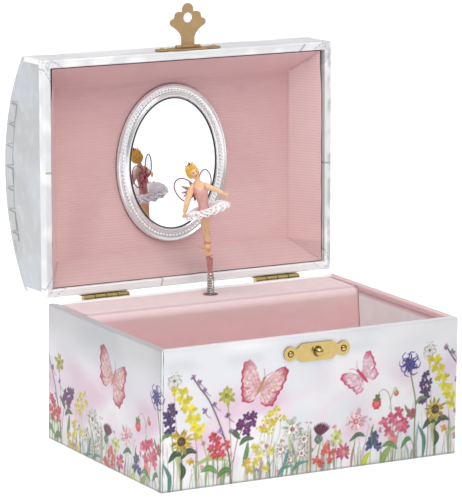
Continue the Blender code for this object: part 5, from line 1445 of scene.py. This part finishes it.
TORSO = (
    # centre, half width, half depth
    ((-3.0, 0.1, 37.2), 2.2, 1.8), ((-3.0, 0.1, 38.6), 2.8, 2.2), ((-3.1, 0, 40.4), 3.0, 2.3),
    ((-3.45, 0, 42.4), 2.65, 2.0), ((-3.95, 0, 44.4), 2.5, 1.85), ((-4.4, 0, 46.4), 2.8, 1.95),
    ((-4.9, -0.1, 48.4), 3.3, 2.1), ((-5.3, -0.2, 50.2), 3.65, 2.3), ((-5.6, -0.1, 51.8), 3.8, 2.15),
    ((-5.95, 0, 53.2), 3.7, 1.7), ((-6.2, 0, 54.4), 3.1, 1.4), ((-6.5, 0, 55.3), 1.9, 1.2),
    ((-6.75, 0, 56.2), 1.25, 1.1), ((-7.1, 0, 57.6), 1.15, 1.05), ((-7.5, 0, 59.0), 1.1, 1.05),
)
SHOULDERS_AND_BUST = (((-8.7, 0, 53.4), (1.6, 1.4, 1.5)), ((-3.4, 0, 53.7), (1.5, 1.3, 1.4)),
                      ((-6.6, -1.7, 50.4), (1.15, 0.8, 1.1)), ((-4.2, -1.7, 50.5), (1.15, 0.8, 1.1)))
HEAD = np.array((-9.06, 0.0, 59.65))
HEAD_SIZE = np.array((2.6, 2.8, 3.15))
FACE_TURN = math.radians(29)  # the face's direction from straight at the viewer, towards the right
HEAD_LEAN = math.radians(-26)  # the crown leans to the viewer's left


def add_limb(shape, points, radii):
    """A smooth tapering tube, drawn in a little at its ends."""
    thickness = np.interp(np.linspace(0, 1, 44), np.linspace(0, 1, len(radii)), radii)
    thickness[0] *= 0.9
    thickness[-1] *= 0.55
    shape.tube(curve(points, 44), thickness, 16)


def body_colours(points):
    """Skin, bodice and shoes by place on the figure, with painted light on the sides facing the viewer and a
    painted shadow where the legs cross.
    """
    x, y, z = points.T
    # painted light: skin lighter on the side facing the viewer; painted shade in a band where the crossed leg
    # meets the standing one
    skin = coats("EFC094", ("D49A6E", ramp(ripple(points, 5, 101), -0.2, 1) * 0.5),
                 ("F6D2AA", 0.5 * ramp(-y, 0.2, 2.0)),
                 ("A8654A", 0.55 * bell(z - 25.5 + 0.1 * x, 0.55) * (x < 1.5)))
    # painted light: the bodice lighter on the side facing the viewer
    bodice = coats("D29A95", ("B9705E", ramp(ripple(points, 3.4, 102), -0.1, 0.9) * 0.6),
                   ("E8BDB4", 0.5 * ramp(-y, 0.8, 2.1)))
    satin = mixed("C48583", "9E5C60", ramp(ripple(points, 3.0, 103), 0, 1) * 0.6)
    from_middle = x - np.interp(z, [40, 44.4, 50, 53], [-3.1, -3.9, -5.3, -5.9])
    neckline = 52.2 + 0.1925 * np.abs(from_middle) ** 1.2 - 0.9 * bell(from_middle, 1.1)
    arm = (from_middle < -3.3 - 0.9 * (z < 50)) | (from_middle > 3.5 + 3.0 * (z < 50))
    strap = bell(np.abs(from_middle) - 2.6, 0.4) * (z > 51.5) * (z < 55.2)
    shoe_top = 18.6 + 0.5 * np.sin(3 * np.arctan2(y, x + 0.8))
    crossed = ramp(-1.6 - x + 0.3 * (25.2 - z), 0.2, 0.6) * (z > 22.5) * (z < 26.6) * (x < -2.4)
    return coats(skin, (bodice, ramp(neckline - z, -0.5, 0.5) * ramp(z, 38.6, 39.2) * ~arm),
                 ("C98A84", 0.6 * strap * ~arm), (satin, ramp(shoe_top - z, -0.15, 0.15)),
                 ("C9997C", 0.5 * crossed),
                 ("8E4650", 0.7 * bell(z - 18.9 - 0.35 * (x + 0.8), 0.20) * (z < 22)))


def remeshed(obj, voxel, rounds):
    """Fuses overlapping closed shapes into one skin and evens it out."""
    fuse = obj.modifiers.new("fuse", "REMESH")
    fuse.mode = "VOXEL"
    fuse.voxel_size = voxel * MM
    even = obj.modifiers.new("even", "SMOOTH")
    even.factor = 0.5
    even.iterations = rounds
    bpy.context.view_layer.update()
    result = bpy.data.meshes.new_from_object(obj.evaluated_get(bpy.context.evaluated_depsgraph_get()))
    bpy.data.objects.remove(obj)
    return result


def dancer_body():
    rings = [oval_ring(centre, wide, deep, 28) for centre, wide, deep in TORSO]
    shape = Shape().grid(np.array(rings), (False, True), caps=True)
    for limb in (LEG_STANDING, LEG_CROSSED, FOOT_CROSSED, HEEL_CROSSED, ARM_LOWERED, ARM_RAISED):
        add_limb(shape, *limb)
    for place, size in SHOULDERS_AND_BUST:
        shape.oval(place, size)
    add_hand(shape, (-12.9, -3.9, 40.9), (-0.1, -0.2, -1.0))
    add_hand(shape, (5.9, -1.3, 49.9), (1.0, -0.15, -0.6))
    mesh = remeshed(shape.build("rough_body", None, SKIN), 0.19, 4)
    add_paint(mesh, [body_colours(np.array([v.co for v in mesh.vertices]) / MM)])
    mesh.transform(Matrix.Translation(FIGURE.translation * MM) @ FIGURE.to_3x3().to_4x4())
    mesh.shade_smooth()
    finish_piece("dancer_body", mesh, "dancer", SKIN, ("dancer_figure",))


def add_hand(shape, wrist, way):
    """A palm with a thumb and four slightly spread fingers."""
    wrist, way = np.array(wrist), np.array(way, float)
    way /= np.linalg.norm(way)
    side = np.cross(way, (0, 1, 0))
    side /= np.linalg.norm(side)
    palm = wrist + way * 0.9
    shape.tube([wrist - way * 0.3, palm, palm + way * 0.7], [0.75, 0.95, 0.8], 12, flatten=0.65)
    for spread_at, length in ((-0.6, 1.1), (-0.2, 1.35), (0.2, 1.3), (0.6, 1.0)):
        base = palm + way * 0.5 + side * spread_at
        tip = base + way * length + side * spread_at * 0.7
        shape.tube([base, (base + tip) / 2, tip], [0.36, 0.33, 0.24], 8)
    thumb = palm + side * 0.7 - way * 0.3
    shape.tube([thumb, thumb + side * 0.45 + way * 0.45, thumb + side * 0.5 + way * 1.0],
               [0.36, 0.32, 0.22], 8)


RELIEFS = (
    # height, then the place and the half width of each: across from the face's middle, and up
    (-0.22, 0.95, 0.12, 0.58, 0.42),  # eye sockets
    (0.14, 0.9, 0.72, 0.8, 0.35),  # brows
    (0.18, 1.35, -0.7, 0.6, 0.7),  # cheeks
    (0.20, 0, -1.66, 0.62, 0.26),  # lips
    (0.24, 0, -2.5, 0.7, 0.5),  # chin
)


def head_points(u, v):
    """The head's surface: u runs round from the face's middle, v from the crown to the chin."""
    out_y, out_z = -np.sin(v) * np.cos(u), np.cos(v)
    jaw = ramp(-out_z, 0.1, 1.0)
    x = HEAD_SIZE[0] * np.sin(v) * np.sin(u) * (1 - 0.34 * jaw)
    y = HEAD_SIZE[1] * out_y * (1 - 0.16 * jaw)
    z = HEAD_SIZE[2] * out_z
    relief = 0.72 * bell(x, 0.42) * bell(z + 0.35, 0.75) * (0.6 + 0.4 * ramp(-z, -0.6, 0.7))  # the nose
    for height, across, up, wide, tall in RELIEFS:
        relief = relief + height * bell(np.abs(x) - across, wide) * bell(z - up, tall)
    return np.stack([x, y - relief * ramp(-out_y, 0.3, 0.95), z], -1)


def face_paint(points):
    """A simple painted doll's face."""
    x, y, z = points[..., 0], points[..., 1], points[..., 2]
    aside, front = np.abs(x), y < -0.8

    def spot(across, up, wide, tall, power=4):
        return bell(aside - across, wide, power) * bell(z - up, tall, power) * front

    def arch(across, up, droop, half_length, half_width):
        line = bell(z - up + droop * (aside - across) ** 2, half_width)
        return line * (np.abs(aside - across) < half_length) * front

    return coats(
        "F0CA9E", ("DCA47C", 0.35 * ramp(ripple(points, 3, 111), 0, 1)),
        ("D9806A", 0.45 * spot(1.35, -0.85, 0.6, 0.5, 2)),  # cheeks
        ("FBF6F0", spot(0.92, 0.10, 0.48, 0.27)),  # eyes
        ("3E5A78", spot(0.92, 0.08, 0.27, 0.25)),
        ("17120F", spot(0.92, 0.08, 0.15, 0.15)),
        ("3A2218", arch(0.95, 0.38, 0.35, 0.55, 0.10)),  # lashes
        ("96602E", 0.9 * arch(1.0, 0.92, 0.30, 0.6, 0.11)),  # brows
        ("C2404A", spot(0, -1.66, 0.60, 0.24)),  # lips and the seam between them
        ("7A2028", 0.8 * bell(x, 0.6, 4) * bell(z + 1.64, 0.05) * front),
        ("9A5A40", 0.6 * spot(0.2, -0.95, 0.10, 0.07, 2)))  # nostrils


def dancer_head():
    u, v = np.meshgrid(np.linspace(-math.pi, math.pi, 120, endpoint=False),
                       np.linspace(0.03, math.pi - 0.03, 90), indexing="xy")
    local = head_points(u, v)
    turn = Matrix.Rotation(HEAD_LEAN, 3, "Y") @ Matrix.Rotation(FACE_TURN, 3, "Z")
    place = FIGURE @ Matrix.Translation(HEAD) @ turn.to_4x4()
    shape = Shape().grid(local, (False, True), caps=True)
    for side in (-1, 1):
        shape.oval((side * 2.62, 0.15, -0.15), (0.28, 0.5, 0.72), 10, 12)
    shape.build("dancer_head", "dancer", SKIN, place, slot="figure", paint=[face_paint(local), "EAB68A"],
                sharp=80)
    hair(place)
    tiara(place)


def hair(place):
    """Combed-up hair: a grooved cap swept to a knot at the crown's back."""
    u, v = np.meshgrid(np.linspace(-math.pi, math.pi, 200, endpoint=False), np.linspace(0.03, 2.25, 70),
                       indexing="xy")
    limit = 2.25 - 1.28 * ramp(1.15 - np.abs(u), 0.0, 0.5)  # the hair stops higher over the face
    v = v / 2.25 * limit
    base = head_points(u, v)
    strand = np.sin(46 * u + 3.0 * np.sin(2.2 * v + 1.3 * u) + 2.0 * ripple(base, 3, 121))
    lift = 0.42 + 1.05 * ramp(np.cos(v), 0.25, 1.0) + 0.10 * strand + 0.10 * ripple(base, 2.2, 122)
    normal = base / np.linalg.norm(base, axis=-1)[..., None]
    cap = base + normal * (lift * ramp(limit - v, 0.0, 0.16) + 0.02)[..., None]
    # painted shade in the strands' grooves and painted highlight on their ridges
    cap_paint = coats("F6C244", ("BE8424", 0.6 * ramp(-strand, 0, 1)), ("F6DC86", 0.5 * ramp(strand, 0.4, 1)))
    polar, around = np.meshgrid(np.linspace(0.05, math.pi - 0.05, 40),
                                np.linspace(0, TURN, 90, endpoint=False), indexing="ij")
    twist = np.sin(9 * around + 4.5 * polar)
    radius = 1.45 + 0.13 * twist
    knot = np.stack([radius * np.sin(polar) * np.cos(around), radius * np.sin(polar) * np.sin(around),
                     0.95 * radius * np.cos(polar)], -1) + (0.0, 2.7, 1.7)
    # painted shade in the knot's twisted grooves
    knot_paint = mixed("EBC050", "A06C1C", 0.65 * ramp(-twist, 0, 1))
    Shape().grid(cap, (False, True), caps=True).grid(knot, (False, True), caps=True).build(
        "dancer_hair", "dancer", HAIR, place, slot="figure", paint=[cap_paint, knot_paint], sharp=80)


def tiara(place):
    """A small upright band of points on the crown."""
    share = np.linspace(-1, 1, 21)
    band = np.stack([1.75 * share, -0.9 + 0.7 * share**2, 4.05 - 0.55 * share**2], -1)
    shape = Shape().tube(band, 0.26, 10)
    for index, height in ((0, 1.2), (4, 0.8), (8, 1.1), (10, 1.5), (12, 1.1), (16, 0.8), (20, 1.2)):
        foot = band[index]
        tip = foot + np.array((0.22 * share[index], 0.1, 1.0)) * height
        shape.tube([foot, (foot + tip) / 2, tip], [0.26, 0.20, 0.10], 8)
        shape.oval(tip, (0.26, 0.26, 0.26), 6, 8)
    shape.build("dancer_tiara", "dancer", TIARA, place, slot="figure", sharp=60)


TUTU_TILT = math.radians(-18.6)
TUTU_WAIST = (-1.9, 0, 41.9)


def net_layer(layer, phase, around):
    """One gathered layer of net, from the waist to its ruffled hem, with its colours."""
    folds = 15 + 2 * layer
    share = np.linspace(0, 1, 26)[:, None]
    wander = 0.8 * np.sin(3 * around + phase) + 0.5 * np.sin(5 * around + 2 * phase)
    pleat = np.sin(folds * around + wander + phase)
    fine = np.sin((2 * folds + 7) * around + 2.0 * wander)
    edge = (11.3 - 0.55 * layer) * (1 + 0.03 * np.sin(2 * around + phase) + 0.035 * fine)
    reach = share**0.9
    x = (2.9 * np.cos(around) - 1.35) * (1 - reach) + edge * np.cos(around) * reach
    y = 2.5 * np.sin(around) * (1 - reach) + edge * np.sin(around) * reach
    z = ((0.52 * layer - 1.15) * share**0.8 + share**1.4 * (0.44 * pleat + 0.15 * fine)
         + 0.55 * np.sin(math.pi * share) - 0.35 * share**6)
    # painted shade in the pleats' hollows and towards the waist, and painted highlight on the pleats' crests
    gathered = np.clip(ramp(-pleat, 0.1, 1) * 0.6 * share + 0.35 * (1 - share), 0, 1)
    tone = coats("F7F4F5", ("ECDCE2", gathered), ("FFFFFF", 0.6 * ramp(pleat, 0.3, 1) * share))
    return np.stack([x, y, z], -1), tone


def tutu():
    """Five layers of gathered net on a tilted ring, their hems ruffled and puckered."""
    place = FIGURE @ Matrix.Translation(TUTU_WAIST) @ Matrix.Rotation(TUTU_TILT, 4, "Y")
    around = np.linspace(0, TURN, 300, endpoint=False)
    rng = np.random.default_rng(131)
    shape, paints = Shape(), []
    for layer in range(5):
        sheet, tone = net_layer(layer, rng.uniform(0, TURN), around)
        shape.grid(np.concatenate([sheet, (sheet + (0, 0, 0.16))[::-1]]), (True, True))
        paints += [tone, tone[::-1]]
    hem = 11.2 * (1 + 0.03 * np.sin(7 * around))
    shape.tube(np.stack([hem * np.cos(around), hem * np.sin(around), 0.5 * np.sin(17 * around) - 0.9], -1),
               0.16, 6, closed=True)
    shape.build("dancer_tutu_net", "dancer", NET, place, slot="net", replaces=("dancer_tutu",),
                paint=[*paints, "FFFFFF"], sharp=70)


# The wings' outlines (across, up); both stand 3 mm behind the dancer.
WINGS = (
    [(-6.6, 50.8), (-8.6, 53.0), (-11.2, 55.3), (-14.4, 56.4), (-17.2, 55.4), (-18.2, 52.4), (-17.4, 49.6),
     (-15.2, 46.6), (-12.4, 45.2), (-9.2, 47.4)],
    [(-6.0, 51.2), (-6.3, 54.4), (-5.9, 57.8), (-4.6, 60.3), (-2.8, 60.9), (-1.0, 59.0), (-0.2, 55.6),
     (-0.7, 52.2), (-2.4, 50.0), (-4.4, 50.0)],
)
WING_BACK = 3.0


def wings():
    """Two loops of bound wire holding clear film."""
    wire, film = Shape(), Shape()
    for outline in WINGS:
        path = closed_curve([(across, WING_BACK, up) for across, up in outline], 90)
        path[:, 1] += 0.12 * np.sin(np.linspace(0, TURN, len(path)))
        wire.tube(path, 0.27, 8, closed=True)
        middle = path.mean(0)
        rings = np.array([middle + (path - middle) * share + (0, 0.35 * (1 - share**2), 0)
                          for share in (1.0, 0.8, 0.6, 0.4, 0.2, 0.05)])
        film.grid(np.concatenate([rings, (rings + (0, 0.08, 0))[::-1]]), (False, True), caps=True)
    wire.tube([(-6.3, 2.0, 50.6), (-6.3, 3.1, 51.2)], [0.7, 0.8], 12)
    wire.build("dancer_wing_wire", "dancer", WING_WIRE, FIGURE, slot="wing_film",
               replaces=("dancer_wings",))
    film.build("dancer_wing_film", "dancer", FILM, FIGURE, slot="wing_film", sharp=80)


STAR_HUB = np.array((-7.9, 3.9, 49.8))
# (direction in degrees, length) of each pointed leaf
STAR_LEAVES = ((158, 7.6), (182, 7.0), (207, 6.6), (236, 6.0), (120, 6.2), (268, 5.2), (70, 5.4),
               (30, 5.0), (310, 4.6))
# (share of the leaf's width, rise) round its section
LEAF_SECTION = ((-1, 0), (-0.5, 1), (0, 1.3), (0.5, 1), (1, 0), (0.5, -1), (0, -1.2), (-0.5, -1))


def sequin_star():
    """Pointed glossy leaves fanned from the middle of the back."""
    shape, rng = Shape(), np.random.default_rng(141)
    for i, (degrees, length) in enumerate(STAR_LEAVES):
        t = math.radians(degrees + rng.uniform(-4, 4))
        way = np.array((math.cos(t), 0.10 * math.sin(3 * i), math.sin(t)))
        side = np.array((-math.sin(t), 0, math.cos(t)))
        rows = []
        for share in np.linspace(0, 1, 14):
            width = 1.05 * math.sin(math.pi * min(1, 0.12 + 0.88 * share)) ** 0.8 * (1 - 0.35 * share)
            spine = STAR_HUB + way * length * share + (0, 0.5 * share * (1 - share) + 0.05 * i, 0)
            rows.append([spine + side * width * c + (0, 0.16 * s + 0.20 * c * c, 0) for c, s in LEAF_SECTION])
        shape.grid(np.array(rows), (False, True), caps=True)
    shape.oval(STAR_HUB + (0, 0.5, 0), (1.1, 0.5, 1.1), 8, 16)
    shape.build("dancer_sequin_star", "dancer", SEQUIN, FIGURE, slot="sequin", replaces=("back_ornament",),
                sharp=50)


def coil_spring():
    """A close coil on the spindle's post, between the case and the dancer's socket."""
    low, high = box_mm("coil_spring")
    end, radius = 15 * TURN, 1.75
    t = np.linspace(0, end, 15 * 26)
    z = np.interp(t, [0, end], [low[2] + 0.3, high[2] - 0.5])
    path = np.stack([SPIN_X + radius * np.cos(t), SPIN_Y + radius * np.sin(t), z], -1)
    shape = Shape().tube(path, 0.22, 8)
    # painted shade on the coil's inner side, which faces the post, against a light outer side
    x, y, _ = shape.points[0].T
    outer = ramp(np.hypot(x - SPIN_X, y - SPIN_Y), radius - 0.08, radius + 0.16)
    obj = shape.build("spring_wire", None, COIL, slot="steel", replaces=("coil_spring",), sharp=60,
                      paint=[mixed("2A2624", "E6E2DC", outer)])
    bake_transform(obj)


def shoe_collar():
    """The turned metal socket that holds the shoe on the spring, from (radius, height)."""
    section = [(0.8, 7.5), (1.55, 7.6), (1.7, 7.8), (1.65, 8.3), (1.45, 8.5), (1.65, 8.8), (1.6, 9.5),
               (1.4, 9.9), (1.2, 10.2), (0.8, 10.2)]
    rings = np.array([oval_ring((0, 0, z), r, r, 32) for r, z in section])
    Shape().grid(rings, (False, True), caps=True).build(
        "shoe_collar", "dancer", STEEL, FIGURE, slot="steel", replaces=("spring_socket",), sharp=50)


# ---------------------------------------------------------------- stage, light and camera

CAMERA_PLACE = Vector((-806.9, -1399.2, 418.5)) * MM
CAMERA_AIM = Vector((0.48496, 0.85249, -0.19511))
CAMERA_ROLL = math.radians(0.604)
CAMERA_LENS = 250.7
CAMERA_SHIFT = (-0.0040, -0.0031)


def camera():
    data = bpy.data.cameras.new("camera")
    data.lens = CAMERA_LENS
    data.sensor_width = 36
    data.shift_x, data.shift_y = CAMERA_SHIFT
    data.clip_start, data.clip_end = 0.1, 20
    obj = add_object("camera", data)
    turn = CAMERA_AIM.to_track_quat("-Z", "Y").to_matrix().to_4x4()
    obj.matrix_world = Matrix.Translation(CAMERA_PLACE) @ turn @ Matrix.Rotation(CAMERA_ROLL, 4, "Z")
    bpy.context.scene.camera = obj


LIGHTS = (
    # name, place, height it aims at, size, energy, tint
    ("key", (-0.30, -0.85, 1.50), 0.08, 0.8, 9.0, (1.0, 0.99, 0.97)),
    ("fill", (1.1, -0.9, 0.75), 0.08, 0.8, 0.7, (0.96, 0.98, 1.0)),
    ("top", (-0.55, -0.05, 1.35), 0.05, 0.6, 3.6, (1.0, 1.0, 1.0)),
)


def area_light(name, place, aim_height, size, energy, tint):
    data = bpy.data.lights.new(name, "AREA")
    data.shape = "RECTANGLE"
    data.size = data.size_y = size
    data.energy = energy
    data.color = tint
    obj = add_object(name, data)
    obj.location = place
    obj.rotation_euler = (Vector((0, 0, aim_height)) - Vector(place)).to_track_quat("-Z", "Y").to_euler()


# the sky's greys: height from -1 to 1 mapped to 0 to 1, and the grey there
LIGHT_STOPS = ((0.0, 0.80), (0.50, 0.74), (0.60, 0.55), (0.78, 0.95), (1.0, 1.0))
GLOSS_STOPS = ((0.0, 0.85), (0.50, 0.80), (0.53, 0.16), (0.66, 0.22), (0.76, 0.95), (1.0, 1.1))
WHITE = (1.3, 1.3, 1.3, 1)


def sky_ramp(tree, height, stops):
    share = add_node(tree, "ShaderNodeMapRange", {"From Min": -1, "From Max": 1, "Value": height}, "Result")
    result = add_node(tree, "ShaderNodeValToRGB", {"Fac": share}, "Color")
    greys = result.node.color_ramp
    while len(greys.elements) < len(stops):
        greys.elements.new(0.5)
    for element, (at, grey) in zip(greys.elements, stops):
        element.position = at
        element.color = (grey, grey, grey * 1.01, 1)
    return result


def studio():
    """White surroundings for the camera; for light and reflections a white room with a darker band
    near the horizon, so that metal has something to show."""
    bpy.context.scene.view_settings.view_transform = "Standard"
    world = bpy.data.worlds.new("studio")
    bpy.context.scene.world = world
    world.use_nodes = True
    tree = world.node_tree
    place = add_node(tree, "ShaderNodeTexCoord", {}, "Generated")
    height = add_node(tree, "ShaderNodeSeparateXYZ", {0: place}, "Z")
    is_glossy = add_node(tree, "ShaderNodeLightPath", {}, "Is Glossy Ray")
    is_camera = is_glossy.node.outputs["Is Camera Ray"]
    lit = mix_node(tree, is_glossy, sky_ramp(tree, height, LIGHT_STOPS), sky_ramp(tree, height, GLOSS_STOPS))
    sky = mix_node(tree, is_camera, lit, WHITE)
    feed(tree, tree.nodes["Background"], {"Color": sky, "Strength": 0.80})
    for light in LIGHTS:
        area_light(*light)


def floor():
    mesh = bpy.data.meshes.new("floor")
    size, level = 4.0, -0.0002
    corners = ((-1, -1), (1, -1), (1, 1), (-1, 1))
    mesh.from_pydata([(x * size, y * size, level) for x, y in corners], [], [(0, 1, 2, 3)])
    material = make_material("studio_floor", "FCFCFC", "FFFFFF", rough=(0.8, 0.9), grain=3, relief=0.0)
    glow = material.node_tree.nodes["Principled BSDF"]
    feed(material.node_tree, glow, {"Emission Color": (1, 1, 1, 1), "Emission Strength": 0.30})
    mesh.materials.append(material)
    add_object("floor", mesh)


# ---------------------------------------------------------------- everything together

artwork = printed_paper()
for side in SIDES:
    case_wall(side, artwork.strip)
key_eyelet()
compartment_walls()
compartment_floor()
deck_cloth()
wire_grommet()
lid_cover()
lid_end(-1, "left")
lid_end(1, "right")
rim_paper()
tray_cloth()
mirror_ring()
latch_fittings()
hinge_gaps()
dancer_body()
dancer_head()
tutu()
wings()
sequin_star()
coil_spring()
shoe_collar()
dress_cad_nodes()
camera()
studio()
floor()
